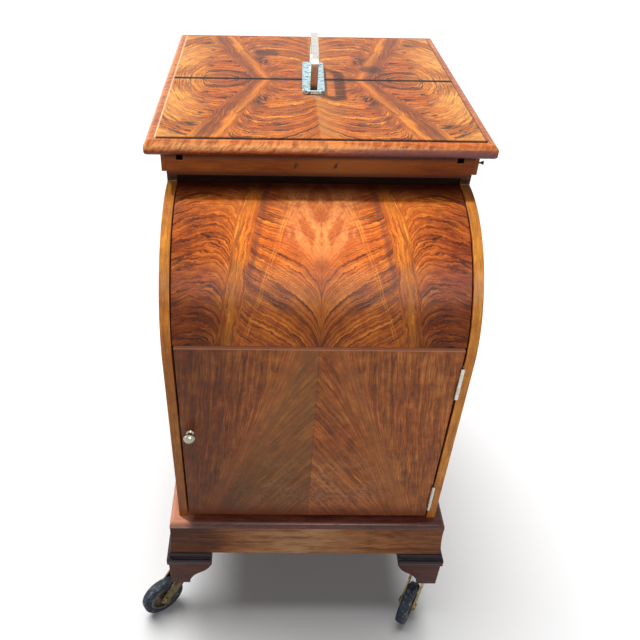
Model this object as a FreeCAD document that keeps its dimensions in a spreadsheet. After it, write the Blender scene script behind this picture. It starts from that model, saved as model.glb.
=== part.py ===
"""Walnut cellarette on casters, with a bottle lift that rises through a two-flap top.

Frame: origin on the floor under the middle of the cabinet, +X to the right of somebody who faces
the door, +Y towards the back, +Z up, millimetres.  The driving dimensions are in the spreadsheet
"size"; the places worked out from them are named in "places", and every expression is bound to
the sheet.
"""
import FreeCAD, Part
import math
import os
import re

import Sketcher

sizes = {
    # carcass
    "body_width": 440,
    "body_depth": 680,
    "side_thick": 14.5,
    "side_height": 551,
    "shoulder_radius": 185,
    "shoulder_step": 10,
    "panel_thick": 12,
    "panel_recess": 1.5,
    "panel_gap": 1.5,
    "floor_thick": 13,
    "back_thick": 15,
    "partition_thick": 12,
    "shelf_height": 164,
    "shelf_thick": 12,
    "shelf_setback": 25,
    "head_rail_depth": 14,
    "head_rail_drop": 11,
    "head_rail_rise": 18,
    "head_rail_nib": 0.5,
    # neck of the well and the moulded top
    "neck_height": 31.5,
    "neck_thick": 15,
    "cleat_thick": 6.6,
    "cleat_height": 26,
    "notch_wide": 9,
    "notch_deep": 8.3,
    "notch_offset": 200,
    "top_thick": 21.5,
    "top_overhang_front": 10.3,
    "top_overhang_side": 29.5,
    "moulding_wide": 14.5,
    "top_corner_radius": 5,
    # flaps
    "flap_thick": 12,
    "flap_proud": 1.5,
    "flap_seat_gap": 0.3,
    "flap_hinge_gap": 0.8,
    "flap_side_gap": 0.5,
    "flap_joint_gap": 2.2,
    "flap_pin_radius": 2.5,
    "flap_pin_inside": 10,
    "flap_pin_outside": 9,
    "flap_pin_play": 0.3,
    "running_fit": 0.05,
    # lift
    "lift_travel": 385,
    "lift_gap": 2,
    "platform_thick": 12,
    "lift_top_drop": 52,
    "lift_end_depth": 170,
    "lift_end_thick": 13.5,
    "lift_end_radius": 30,
    "runner_wide": 24,
    "runner_thick": 8,
    "runner_play": 1,
    "rest_height": 20,
    "rest_gap": 0.3,
    "shoe_depth": 80,
    "shoe_thick": 20,
    "bridge_depth": 60,
    "bridge_thick": 16,
    "lift_shelf_height": 180,
    "lift_shelf_thick": 10,
    "lift_shelf_depth": 160,
    "fence_height": 25,
    "fence_thick": 6,
    "fence_setback": 4,
    "bottle_rail_radius": 4,
    "bottle_rail_rise": 70,
    "stem_radius": 5,
    "stem_clearance": 1.5,
    "handle_turn": -2.1,
    "plate_wide": 36,
    "plate_long": 140,
    "plate_thick": 6.2,
    "plate_gap": 0.4,
    "plate_corner": 5,
    "strap_wide": 11.5,
    "strap_thick": 8.5,
    "strap_long": 138,
    "strap_height": 54,
    "strap_corner": 17,
    # lift catch
    "catch_setback": 10,
    "catch_radius": 2.5,
    "catch_stem_radius": 1.4,
    "catch_head_radius": 3.3,
    "catch_head_thick": 4,
    "catch_grip": 5,
    "catch_nose_length": 16,
    "catch_travel": 4.5,
    "catch_rise": 13,
    "catch_clearance": 0.5,
    "catch_tip_setback": 0.5,
    "bush_wall": 1.5,
    "bush_flange_radius": 5.5,
    "bush_flange_thick": 0.6,
    # door
    "door_gap": 3,
    "door_foot_gap": 5.7,
    "door_height": 375.3,
    "door_head_gap": 2,
    "door_thick": 18,
    "door_stop_gap": 0.5,
    "hinge_length": 60,
    "hinge_inset_low": 52.3,
    "hinge_inset_high": 59.5,
    "leaf_thick": 1.2,
    "leaf_depth": 16,
    "knuckle_radius": 3,
    "knuckle_gap": 0.3,
    "hinge_pin_radius": 1.3,
    "knob_setback": 31,
    "knob_height": 211,
    "knob_radius": 9.5,
    "knob_length": 20,
    "knob_dome": 6.5,
    "knob_gap": 0.3,
    "knob_rose_radius": 6,
    "knob_rose_thick": 1.8,
    "knob_neck_radius": 3.6,
    "knob_flare": 4.5,
    "spindle_radius": 3,
    "tongue_reach": 20,
    "tongue_wide": 10,
    "tongue_thick": 3,
    "strike_thick": 1,
    "strike_tall": 44,
    "strike_wide": 14,
    "strike_clearance": 1.5,
    "strike_lip": 2,
    # base
    "board_thick": 13.2,
    "board_out": 16,
    "board_round": 8,
    "base_rail_height": 66,
    "base_rail_thick": 22,
    "base_out_top": 16,
    "base_out_low": 20,
    "base_hollow_radius": 400,
    "foot_height": 89.3,
    "foot_bracket_height": 61,
    "foot_step_height": 14,
    "foot_out": 24,
    "foot_step_one": 2.6,
    "foot_step_two": 2,
    "foot_span": 77,
    "foot_toe_wide": 35,
    "foot_toe_deep": 52,
    "foot_curve_radius": 46,
    "foot_toe_height": 6,
    # casters
    "foot_clearance": 97.5,
    "wheel_radius": 40,
    "wheel_width": 18,
    "tyre_round": 5,
    "hub_radius": 28,
    "hub_rim": 5,
    "hub_web": 5,
    "hub_boss_radius": 9,
    "hub_boss_width": 20,
    "axle_radius": 4,
    "axle_head_radius": 6,
    "axle_head_thick": 2.5,
    "fork_trail": 48.8,
    "fork_inside": 22,
    "fork_plate": 3,
    "fork_boss_radius": 9,
    "crown_front": 14,
    "crown_back": 17,
    "crown_thick": 9,
    "caster_stem_radius": 5,
    "caster_stem_height": 38,
    "caster_side_inset": 5.5,
    "caster_front_inset": 12.8,
    "socket_wall": 2,
    "socket_plate_radius": 14,
    "socket_plate_thick": 2,
    "swivel_gap": 0.3,
    "angle_front_left": -54.7,
    "angle_front_right": -31.7,
}

# Places worked out from the sizes.  A name stands for its expression in brackets.
places = {
    "half_width": "body_width / 2",
    "inner_half": "half_width - side_thick",
    "front": "-body_depth / 2",
    "rear": "body_depth / 2",
    "foot_top": "foot_clearance + foot_height",
    "board_low": "foot_top + base_rail_height",
    "base_top": "board_low + board_thick",
    "side_top": "base_top + side_height",
    "shoulder_y": "front + shoulder_radius",
    "shoulder_z": "side_top - shoulder_step - shoulder_radius",
    "panel_outer": "shoulder_radius - panel_recess",
    "panel_inner": "panel_outer - panel_thick",
    "neck_top": "side_top + neck_height",
    "top": "neck_top + top_thick",
    "neck_inner_front": "shoulder_y + neck_thick",
    "neck_inner_rear": "rear - neck_thick",
    "well_y": "(neck_inner_front + neck_inner_rear) / 2",
    "floor_top": "base_top + floor_thick",
    "door_low": "base_top + door_foot_gap",
    "door_top": "door_low + door_height",
    "door_half": "inner_half - door_gap",
    "door_back": "front + door_thick",
    "panel_low": "door_top + door_head_gap",
    "well_half": "(neck_inner_rear - neck_inner_front) / 2",
    "top_half_y": "well_half + neck_thick + top_overhang_front",
    "top_half_x": "half_width + top_overhang_side",
    "rebate_y": "top_half_y - moulding_wide",
    "rebate_x": "top_half_x - moulding_wide",
    "flap_top": "top + flap_proud",
    "flap_low": "flap_top - flap_thick",
    "pivot_y": "rebate_y - flap_hinge_gap - flap_thick / 2",
    "pivot_z": "flap_top - flap_thick / 2",
    "raised_low": "catch_z + catch_radius + catch_clearance",
    "catch_z": "side_top + catch_rise",
    "catch_y": "neck_inner_front + catch_setback",
    "platform_low": "raised_low - lift_travel",
    "platform_top": "platform_low + platform_thick",
    "lift_top": "flap_low - lift_top_drop",
    "runner_face": "inner_half - runner_thick",
    "lift_end_face": "runner_face - runner_play",
    "lift_inner": "lift_end_face - lift_end_thick",
    "rest_top": "floor_top + rest_height",
    "shoe_face": "inner_half - runner_play",
    "plate_low": "flap_top + plate_gap",
    "plate_top": "plate_low + plate_thick",
    "hinge_x": "inner_half - door_gap / 2",
    "hinge_y": "front - knuckle_radius - knuckle_gap",
    "knob_x": "-half_width + knob_setback",
    "knob_z": "base_top + knob_height",
    "tongue_y": "door_back + door_stop_gap",
    "strike_x": "-inner_half + strike_thick",
    "bush_radius": "catch_radius + running_fit + bush_wall",
    "cleat_face": "half_width + cleat_thick",
    "catch_tip": "inner_half + catch_tip_setback",
    "catch_head": "cleat_face + bush_flange_thick + catch_travel + rest_gap + catch_grip",
    "caster_x": "half_width + caster_side_inset",
    "caster_y": "-front - caster_front_inset",
    "socket_radius": "caster_stem_radius + running_fit + socket_wall",
    "socket_low": "foot_clearance - socket_plate_thick",
    "crown_top": "socket_low - swivel_gap",
    "crown_low": "crown_top - crown_thick",
}

doc = FreeCAD.newDocument("cellarette")
sheet = doc.addObject("Spreadsheet::Sheet", "size")
for row, (alias, number) in enumerate(sizes.items(), start=1):
    sheet.set(f"A{row}", alias)
    sheet.set(f"B{row}", str(number))
    sheet.setAlias(f"B{row}", alias)
doc.recompute()

nodes = {}


def full(text):
    """Expression text with every place written out and every size read from the sheet."""
    def swap(found):
        word = found.group(0)
        if word in places:
            return "(" + full(places[word]) + ")"
        if word in sizes:
            return "size." + word
        return word
    return re.sub(r"[A-Za-z_]+", swap, str(text))


def value(text):
    """The number that an expression has now."""
    return float(sheet.evalExpression(full(text)))


def bind(thing, name, text):
    thing.setExpression(name, full(text))


def put(thing, x="0", y="0", z="0"):
    bind(thing, "Placement.Base.x", x)
    bind(thing, "Placement.Base.y", y)
    bind(thing, "Placement.Base.z", z)
    return thing


def stand(thing, turn, x, y, z):
    """Puts a piece at a place, turned by an angle in degrees about the upright through it."""
    thing.Placement = FreeCAD.Placement(FreeCAD.Vector(),
                                        FreeCAD.Rotation(FreeCAD.Vector(0, 0, 1), 10))
    bind(thing, "Placement.Rotation.Angle", f"({turn}) * 1deg")
    return put(thing, x, y, z)


def keep(node, thing):
    """Makes a finished sub-part a node of its own."""
    thing.Label = node
    nodes[node] = thing
    return thing


# ---- shapes that the sub-parts are made from ----

def block(x_from, x_to, y_from, y_to, z_from, z_to):
    """A plain board or a box-shaped cut, given by where it starts and ends."""
    board = doc.addObject("Part::Box", "board")
    bind(board, "Length", f"({x_to}) - ({x_from})")
    bind(board, "Width", f"({y_to}) - ({y_from})")
    bind(board, "Height", f"({z_to}) - ({z_from})")
    return put(board, x_from, y_from, z_from)


AXIS_TURN = {
    "x": FreeCAD.Rotation(FreeCAD.Vector(0, 1, 0), 90),
    "y": FreeCAD.Rotation(FreeCAD.Vector(1, 0, 0), -90),
    "z": FreeCAD.Rotation(),
}


def rod(axis, radius, length, x, y, z):
    """A round bar that starts at a point and runs along +X, +Y or +Z."""
    bar = doc.addObject("Part::Cylinder", "rod")
    bind(bar, "Radius", radius)
    bind(bar, "Height", length)
    bar.Placement = FreeCAD.Placement(FreeCAD.Vector(), AXIS_TURN[axis])
    return put(bar, x, y, z)


def cut(base, *tools):
    made = base
    for tool in tools:
        step = doc.addObject("Part::Cut", "cut")
        step.Base = made
        step.Tool = tool
        made = step
    return made


def join(*parts):
    made = doc.addObject("Part::MultiFuse", "join")
    made.Shapes = list(parts)
    return made


def common(first, second):
    made = doc.addObject("Part::Common", "common")
    made.Base = first
    made.Tool = second
    return made


def group(*parts):
    """Like pieces that share a node, each still a solid of its own."""
    made = doc.addObject("Part::Compound", "group")
    made.Links = list(parts)
    return made


def sketch_on(body, role, corners):
    """A closed outline on one of the body's origin planes.

    A corner is (x, y) at the end of a straight edge, or (x, y, centre_x, centre_y, radius) at
    the end of an arc of less than half a turn.
    """
    plane = next(item for item in body.Origin.OriginFeatures if item.Role == role)
    sketch = body.newObject("Sketcher::SketchObject", "outline")
    sketch.AttachmentSupport = [(plane, "")]
    sketch.MapMode = "FlatFace"
    spots = [FreeCAD.Vector(value(corner[0]), value(corner[1]), 0) for corner in corners]
    starts = []
    for index, corner in enumerate(corners):
        begin = spots[index - 1]
        end = spots[index]
        if len(corner) == 2:
            sketch.addGeometry(Part.LineSegment(begin, end), False)
            starts.append(1)
            continue
        centre = FreeCAD.Vector(value(corner[2]), value(corner[3]), 0)
        circle = Part.Circle(centre, FreeCAD.Vector(0, 0, 1), value(corner[4]))
        first = math.atan2(begin.y - centre.y, begin.x - centre.x)
        last = math.atan2(end.y - centre.y, end.x - centre.x)
        anticlockwise = (last - first) % (2 * math.pi) < math.pi
        arc = (first, last) if anticlockwise else (last, first)
        sketch.addGeometry(Part.ArcOfCircle(circle, arc[0], arc[1]), False)
        starts.append(1 if anticlockwise else 2)
        ring = sketch.addConstraint(Sketcher.Constraint("Radius", index, value(corner[4])))
        bind(sketch, f"Constraints[{ring}]", corner[4])
    count = len(corners)
    for index in range(count):
        after = (index + 1) % count
        sketch.addConstraint(
            Sketcher.Constraint("Coincident", index, 3 - starts[index], after, starts[after]))
    for index, corner in enumerate(corners):
        after = (index + 1) % count
        for kind, text, number in (("DistanceX", corner[0], spots[index].x),
                                   ("DistanceY", corner[1], spots[index].y)):
            size = sketch.addConstraint(
                Sketcher.Constraint(kind, -1, 1, after, starts[after], number))
            bind(sketch, f"Constraints[{size}]", text)
    return sketch


def prism(role, corners, low, high):
    """An outline drawn on a plane and padded from low to high along the plane's own axis."""
    body = doc.addObject("PartDesign::Body", "body")
    sketch = sketch_on(body, role, corners)
    pad = body.newObject("PartDesign::Pad", "pad")
    pad.Profile = sketch
    bind(pad, "Length", f"({high}) - ({low})")
    shift = {"XY_Plane": ("0", "0", low), "YZ_Plane": (low, "0", "0"), "XZ_Plane": ("0", high, "0")}
    return put(body, *shift[role])


def turned(role, corners, axis="V_Axis"):
    """An outline revolved about one of its sketch's axes."""
    body = doc.addObject("PartDesign::Body", "body")
    sketch = sketch_on(body, role, corners)
    spin = body.newObject("PartDesign::Revolution", "spin")
    spin.Profile = sketch
    spin.ReferenceAxis = (sketch, [axis])
    return body


def rounded(body, radius, wanted):
    """A fillet on the edges of a body whose middles pass a test."""
    doc.recompute()
    base = body.Tip
    names = []
    for number, edge in enumerate(base.Shape.Edges, start=1):
        if wanted(edge.CenterOfMass, edge):
            names.append(f"Edge{number}")
    fillet = body.newObject("PartDesign::Fillet", "fillet")
    fillet.Base = (base, names)
    bind(fillet, "Radius", radius)
    return body


# ---- carcass ----

def side_panel(low, high):
    """Upright side with the quarter-round shoulder and the step that the neck stands on."""
    return prism("YZ_Plane", [
        ("front", "base_top"),
        ("rear", "base_top"),
        ("rear", "side_top"),
        ("shoulder_y", "side_top"),
        ("shoulder_y", "side_top - shoulder_step"),
        ("front", "shoulder_z", "shoulder_y", "shoulder_z", "shoulder_radius"),
    ], low, high)


def curved_front():
    """Quarter-round panel between the sides, with a short level tail under the strip."""
    low_drop = "(panel_low - shoulder_z)"
    outer_y = f"shoulder_y - sqrt(panel_outer ^ 2 - {low_drop} ^ 2)"
    inner_y = f"shoulder_y - sqrt(panel_inner ^ 2 - {low_drop} ^ 2)"
    centre = ("shoulder_y", "shoulder_z")
    return prism("YZ_Plane", [
        (inner_y, "panel_low"),
        ("shoulder_y", "shoulder_z + panel_inner", *centre, "panel_inner"),
        ("neck_inner_front", "shoulder_z + panel_inner"),
        ("neck_inner_front", "shoulder_z + panel_outer"),
        ("shoulder_y", "shoulder_z + panel_outer"),
        (outer_y, "panel_low", *centre, "panel_outer"),
    ], "-inner_half + panel_gap", "inner_half - panel_gap")


def door_rail():
    """Rail above the door: its lower part stops the door, its upper part backs the curve."""
    rise = "(panel_low + head_rail_rise - shoulder_z)"
    nib_low = "(panel_low + head_rail_nib - shoulder_z)"
    face_high = f"shoulder_y - sqrt(panel_inner ^ 2 - {rise} ^ 2)"
    face_low = f"shoulder_y - sqrt(panel_inner ^ 2 - {nib_low} ^ 2)"
    stop = "door_back + door_stop_gap"
    return prism("YZ_Plane", [
        (stop, "door_top - head_rail_drop"),
        (f"{stop} + head_rail_depth", "door_top - head_rail_drop"),
        (f"{stop} + head_rail_depth", "panel_low + head_rail_rise"),
        (face_high, "panel_low + head_rail_rise"),
        (face_low, "panel_low + head_rail_nib", "shoulder_y", "shoulder_z", "panel_inner"),
        (stop, "panel_low + head_rail_nib"),
    ], "-inner_half", "inner_half")


def carcass():
    # the tongue's corner swings into the side above its closed place, so the mortise is taller there
    corner = "(tongue_reach ^ 2 + tongue_wide ^ 2 / 4)"
    swing = f"sqrt({corner} - (strike_x - knob_x) ^ 2)"
    mortise = block(
        "-inner_half - (tongue_reach - (inner_half + knob_x)) - strike_clearance", "strike_x",
        "tongue_y - strike_clearance", "tongue_y + tongue_thick + strike_clearance",
        "knob_z - tongue_wide / 2 - strike_clearance", f"knob_z + {swing} + strike_clearance")
    keep("side_panel_left", cut(side_panel("-half_width", "-inner_half"), mortise))
    keep("side_panel_right", side_panel("inner_half", "half_width"))
    strike = block("-inner_half", "strike_x",
                   "tongue_y - strike_clearance - strike_lip",
                   "tongue_y - strike_clearance - strike_lip + strike_wide",
                   "knob_z - strike_tall / 2", "knob_z + strike_tall / 2")
    keep("strike_plate", cut(strike, mortise))
    keep("back_panel", block("-inner_half", "inner_half", "rear - back_thick", "rear",
                             "floor_top", "side_top"))
    keep("carcass_floor", block("-inner_half", "inner_half", "door_back + door_stop_gap", "rear",
                                "base_top", "floor_top"))
    panel_under = "shoulder_z + panel_inner"
    keep("well_partition", block("-inner_half", "inner_half",
                                 "neck_inner_front - partition_thick", "neck_inner_front",
                                 "floor_top", panel_under))
    keep("cupboard_shelf", block("-inner_half", "inner_half", "front + shelf_setback",
                                 "neck_inner_front - partition_thick",
                                 "base_top + shelf_height", "base_top + shelf_height + shelf_thick"))
    keep("curved_front", curved_front())
    keep("door_rail", door_rail())
    keep("shoulder_strip", block("-inner_half", "inner_half", "shoulder_y", "neck_inner_front",
                                 "shoulder_z + panel_outer", "side_top"))


# ---- neck of the well and moulded top ----

def neck():
    notches = [block(f"{side} * notch_offset - notch_wide / 2",
                     f"{side} * notch_offset + notch_wide / 2",
                     "shoulder_y - 1", "neck_inner_front + 1",
                     "neck_top - notch_deep", "neck_top + 1") for side in (-1, 1)]
    keep("well_front_rail", cut(block("-half_width", "half_width", "shoulder_y",
                                      "neck_inner_front", "side_top", "neck_top"), *notches))
    keep("well_rear_rail", block("-half_width", "half_width", "neck_inner_rear", "rear",
                                 "side_top", "neck_top"))
    left_rail = block("-half_width", "-inner_half", "neck_inner_front", "neck_inner_rear",
                      "side_top", "neck_top")
    right_rail = block("inner_half", "half_width", "neck_inner_front", "neck_inner_rear",
                       "side_top", "neck_top")
    left_cleat = block("-cleat_face", "-half_width", "shoulder_y", "rear",
                       "neck_top - cleat_height", "neck_top")
    right_cleat = block("half_width", "cleat_face", "shoulder_y", "rear",
                        "neck_top - cleat_height", "neck_top")
    bore = rod("x", "bush_radius", "cleat_face - inner_half", "inner_half", "catch_y", "catch_z")
    keep("well_side_rails", group(left_rail, cut(right_rail, bore)))
    keep("side_cleats", group(left_cleat, cut(right_cleat, bore)))


def moulding_section(sign, half, rebate, inner, centre):
    """Section of one top moulding: round nose outside, rebate for the flap, ledge inside."""
    def across(text):
        return f"{centre} + {sign} * ({text})"
    nose = "(top_thick / 2)"
    middle = "neck_top + top_thick / 2"
    return [
        (across(inner), "neck_top"),
        (across(f"{half} - {nose}"), "neck_top"),
        (across(half), middle, across(f"{half} - {nose}"), middle, nose),
        (across(f"{half} - {nose}"), "top", across(f"{half} - {nose}"), middle, nose),
        (across(rebate), "top"),
        (across(rebate), "flap_low - flap_seat_gap"),
        (across(inner), "flap_low - flap_seat_gap"),
    ]


def top_moulding_plan(along_x, sign):
    """Plan of one mitred moulding, a trapezium with its outer corners rounded."""
    run = "top_half_x" if along_x else "top_half_y"
    out = "top_half_y" if along_x else "top_half_x"
    inner_run = "inner_half" if along_x else "well_half"
    inner_out = "well_half" if along_x else "inner_half"
    rebate_run = "rebate_x" if along_x else "rebate_y"
    rebate_out = "rebate_y" if along_x else "rebate_x"
    bevel = "((1 - sqrt(0.5)) * top_corner_radius)"
    chain = []
    for side in (-1, 1):
        leg = [
            (f"{side} * ({inner_run})", inner_out),
            (f"{side} * ({rebate_run})", rebate_out),
            (f"{side} * ({run} - {bevel})", f"{out} - {bevel}"),
            (f"{side} * ({run} - top_corner_radius)", out),
        ]
        chain += leg if side == -1 else leg[::-1]
    corners = []
    for run_text, out_text in chain:
        away = f"{sign} * ({out_text})"
        if along_x:
            corners.append((run_text, f"well_y + {away}"))
        else:
            corners.append((away, f"well_y + {run_text}"))
    return corners


def moulding(along_x, sign):
    if along_x:
        section = moulding_section(sign, "top_half_y", "rebate_y", "well_half", "well_y")
        bar = prism("YZ_Plane", section, "-top_half_x", "top_half_x")
    else:
        section = moulding_section(sign, "top_half_x", "rebate_x", "inner_half", "0")
        bar = prism("XZ_Plane", section, "well_y - top_half_y", "well_y + top_half_y")
    plan = prism("XY_Plane", top_moulding_plan(along_x, sign), "neck_top - 1", "top + 1")
    return common(bar, plan)


def moulded_top():
    keep("top_moulding_front", moulding(True, -1))
    keep("top_moulding_rear", moulding(True, 1))
    pin_length = "flap_pin_inside + flap_pin_outside"
    pins = []
    for start in ("-rebate_x - flap_pin_outside", "rebate_x - flap_pin_inside"):
        for end in (-1, 1):
            pins.append(rod("x", "flap_pin_radius", pin_length, start,
                            f"well_y + {end} * pivot_y", "pivot_z"))
    sides = [cut(moulding(False, -1), pins[0], pins[1]), cut(moulding(False, 1), pins[2], pins[3])]
    keep("top_mouldings_side", group(*sides))
    keep("flap_pins", group(*pins))


def flap(node, end):
    """A flap: hinge edge rounded about its pins, tip cut back round the handle's stem."""
    def across(text):
        return f"well_y + {end} * ({text})"
    half = "(flap_thick / 2)"
    hinge = (across("pivot_y"), "pivot_z")
    tip = "flap_joint_gap / 2"
    board = prism("YZ_Plane", [
        (across(tip), "flap_low"),
        (across("pivot_y"), "flap_low"),
        (across(f"pivot_y + {half}"), "pivot_z", *hinge, half),
        (across("pivot_y"), "flap_top", *hinge, half),
        (across(tip), "flap_top"),
    ], "-rebate_x + flap_side_gap", "rebate_x - flap_side_gap")
    room = "(stem_radius + stem_clearance)"
    notch_near = across(f"-{tip}") if end > 0 else across(room)
    notch_far = across(room) if end > 0 else across(f"-{tip}")
    notch = block(f"-{room}", room, notch_near, notch_far, "flap_low - 1", "flap_top + 1")
    depth = "flap_pin_inside + flap_pin_play + 1"
    bores = [rod("x", "flap_pin_radius + running_fit", depth, start, across("pivot_y"), "pivot_z")
             for start in ("-rebate_x - 1", "rebate_x - flap_pin_inside - flap_pin_play")]
    keep(node, cut(board, notch, *bores))


# ---- lift ----

def runners():
    """Upright runners on the side panels, and the blocks that the lift rests on."""
    parts = []
    for side in (-1, 1):
        wall = f"{side} * inner_half"
        face = f"{side} * runner_face"
        shoe_in = f"{side} * (shoe_face - shoe_thick)"
        bounds = (wall, face) if side < 0 else (face, wall)
        parts.append(block(*bounds, "well_y - runner_wide / 2", "well_y + runner_wide / 2",
                           "rest_top", "neck_top"))
        bounds = (wall, shoe_in) if side < 0 else (shoe_in, wall)
        parts.append(block(*bounds, "well_y - shoe_depth / 2", "well_y + shoe_depth / 2",
                           "floor_top", "rest_top"))
    return group(*parts)


def platform():
    board = block("-inner_half + lift_gap", "inner_half - lift_gap",
                  "well_y - well_half + lift_gap", "well_y + well_half - lift_gap",
                  "platform_low", "platform_top")
    room = "(runner_wide / 2 + runner_play)"
    notches = [block("-inner_half", "-lift_end_face", f"well_y - {room}", f"well_y + {room}",
                     "platform_low - 1", "platform_top + 1"),
               block("lift_end_face", "inner_half", f"well_y - {room}", f"well_y + {room}",
                     "platform_low - 1", "platform_top + 1")]
    return cut(board, *notches)


def lift_end(low, high):
    """Upright end board of the lift with its two upper corners rounded."""
    near = "well_y - lift_end_depth / 2"
    far = "well_y + lift_end_depth / 2"
    round_z = "lift_top - lift_end_radius"
    return prism("YZ_Plane", [
        (near, "platform_top"),
        (far, "platform_top"),
        (far, round_z),
        (f"{far} - lift_end_radius", "lift_top", f"{far} - lift_end_radius", round_z,
         "lift_end_radius"),
        (f"{near} + lift_end_radius", "lift_top"),
        (near, round_z, f"{near} + lift_end_radius", round_z, "lift_end_radius"),
    ], low, high)


def shoe(side):
    """Guide shoe under the platform, grooved to run on its runner."""
    bounds = [f"{side} * (shoe_face - shoe_thick)", f"{side} * shoe_face"]
    groove = [f"{side} * lift_end_face", f"{side} * (shoe_face + 1)"]
    if side < 0:
        bounds.reverse()
        groove.reverse()
    room = "(runner_wide / 2 + runner_play / 2)"
    low = "rest_top + rest_gap"
    body = block(*bounds, "well_y - shoe_depth / 2", "well_y + shoe_depth / 2",
                 low, "platform_low")
    return cut(body, block(*groove, f"well_y - {room}", f"well_y + {room}",
                           f"{low} - 1", "platform_low + 1"))


def handle():
    """Nickel plate over the joint of the flaps, and the strap that the lift is pulled by.

    Both are drawn about the stem's axis and stand a little turned on it.
    """
    half_x = "(plate_wide / 2)"
    half_y = "(plate_long / 2)"
    turn = "plate_corner"
    corners = []
    for sx, sy, arc_first in ((-1, -1, False), (1, -1, True), (1, 1, False), (-1, 1, True)):
        centre = (f"{sx} * ({half_x} - {turn})", f"{sy} * ({half_y} - {turn})")
        on_side = (f"{sx} * {half_x}", centre[1])
        on_end = (centre[0], f"{sy} * {half_y}")
        first, second = (on_end, on_side) if arc_first else (on_side, on_end)
        corners.append(first)
        corners.append((*second, *centre, turn))
    plate = prism("XY_Plane", corners, "plate_low", "plate_top")
    keep("handle_plate", stand(plate, "handle_turn", "0", "well_y", "plate_low"))

    strap_top = "(plate_top + strap_height)"
    outer = []
    for offset, radius in (("0", "strap_corner"), ("strap_thick", "(strap_corner - strap_thick)")):
        reach = f"(strap_long / 2 - {offset})"
        crown = f"({strap_top} - {offset})"
        bend = f"({crown} - {radius})"
        run = [
            (f"-{reach}", "plate_top"),
            (f"-{reach}", bend),
            (f"-{reach} + {radius}", crown, f"-{reach} + {radius}", bend, radius),
            (f"{reach} - {radius}", crown),
            (reach, bend, f"{reach} - {radius}", bend, radius),
            (reach, "plate_top"),
        ]
        outer.append(run)
    inside = outer[1]
    back = [
        inside[5][:2],
        inside[4][:2],
        (*inside[3][:2], *inside[4][2:]),
        inside[2][:2],
        (*inside[1][:2], *inside[2][2:]),
        inside[0][:2],
    ]
    half_strap = "(strap_wide / 2)"
    strap = prism("YZ_Plane", outer[0] + back, f"-{half_strap}", half_strap)
    angle = "(handle_turn * 1deg)"
    keep("handle_strap", stand(strap, "handle_turn", f"-{half_strap} * cos({angle})",
                               f"well_y - {half_strap} * sin({angle})", "0"))


def lift():
    keep("lift_runners", runners())
    keep("lift_platform", platform())
    keep("lift_end_left", lift_end("-lift_end_face", "-lift_inner"))
    keep("lift_end_right", lift_end("lift_inner", "lift_end_face"))
    keep("lift_shoes", group(shoe(-1), shoe(1)))
    keep("lift_bridge", block("-lift_inner", "lift_inner", "well_y - bridge_depth / 2",
                              "well_y + bridge_depth / 2", "lift_top - bridge_thick", "lift_top"))
    shelf_low = "platform_top + lift_shelf_height"
    keep("lift_shelf", block("-lift_inner", "lift_inner", "well_y - lift_shelf_depth / 2",
                             "well_y + lift_shelf_depth / 2",
                             shelf_low, f"{shelf_low} + lift_shelf_thick"))
    fences = []
    edge = "(well_half - lift_gap - fence_setback)"
    for end in (-1, 1):
        inside = f"well_y + {end} * ({edge} - fence_thick)"
        outside = f"well_y + {end} * {edge}"
        bounds = (outside, inside) if end < 0 else (inside, outside)
        fences.append(block("-lift_end_face", "lift_end_face", *bounds,
                            "platform_top", "platform_top + fence_height"))
    keep("lift_fences", group(*fences))
    rail_y = "(lift_end_depth / 2 - 2 * bottle_rail_radius)"
    rails = [rod("x", "bottle_rail_radius", "2 * lift_inner", "-lift_inner",
                 f"well_y + {end} * {rail_y}", "platform_top + bottle_rail_rise")
             for end in (-1, 1)]
    keep("bottle_rails", group(*rails))
    keep("handle_stem", rod("z", "stem_radius", "plate_low - lift_top", "0", "well_y",
                            "lift_top"))
    handle()


def catch():
    """Bolt that is pushed in under the raised platform, and the bush that it slides in."""
    through = "cleat_face + bush_flange_thick - inner_half + 2"
    bore = rod("x", "catch_radius + running_fit", through, "inner_half - 1", "catch_y", "catch_z")
    sleeve = rod("x", "bush_radius", "cleat_face - inner_half", "inner_half", "catch_y", "catch_z")
    flange = rod("x", "bush_flange_radius", "bush_flange_thick", "cleat_face", "catch_y",
                 "catch_z")
    keep("catch_bush", cut(join(sleeve, flange), bore))
    head = "(catch_head - catch_tip)"
    bolt = turned("XY_Plane", [
        ("0", "0"),
        (f"{head} + catch_head_thick", "0"),
        (f"{head} + catch_head_thick", "catch_head_radius"),
        (head, "catch_stem_radius"),
        ("catch_nose_length", "catch_stem_radius"),
        ("catch_nose_length", "catch_radius"),
        ("0", "catch_radius"),
    ], "H_Axis")
    keep("catch_bolt", put(bolt, "catch_tip", "catch_y", "catch_z"))


# ---- door ----

def hinge(low, on_door):
    """One leaf of a butt hinge with its knuckles: three on the side, two on the door."""
    high = f"({low} + hinge_length)"
    pitch = "(hinge_length / 5)"
    edge = "door_half" if on_door else "(inner_half - leaf_thick)"
    plate = block(edge, f"{edge} + leaf_thick", "front", "front + leaf_depth", low, high)
    parts = [plate]
    for index in ((1, 3) if on_door else (0, 2, 4)):
        start = f"({low} + {index} * {pitch} + knuckle_gap / 2)"
        length = f"({pitch} - knuckle_gap)"
        parts.append(rod("z", "knuckle_radius", length, "hinge_x", "hinge_y", start))
        parts.append(block(edge, f"{edge} + leaf_thick", "hinge_y", "front",
                           start, f"{start} + {length}"))
    if on_door:
        bore = rod("z", "hinge_pin_radius + running_fit", "hinge_length + 2", "hinge_x",
                   "hinge_y", f"{low} - 1")
        return cut(join(*parts), bore)
    parts.append(rod("z", "hinge_pin_radius", "hinge_length", "hinge_x", "hinge_y", low))
    return join(*parts)


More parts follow.
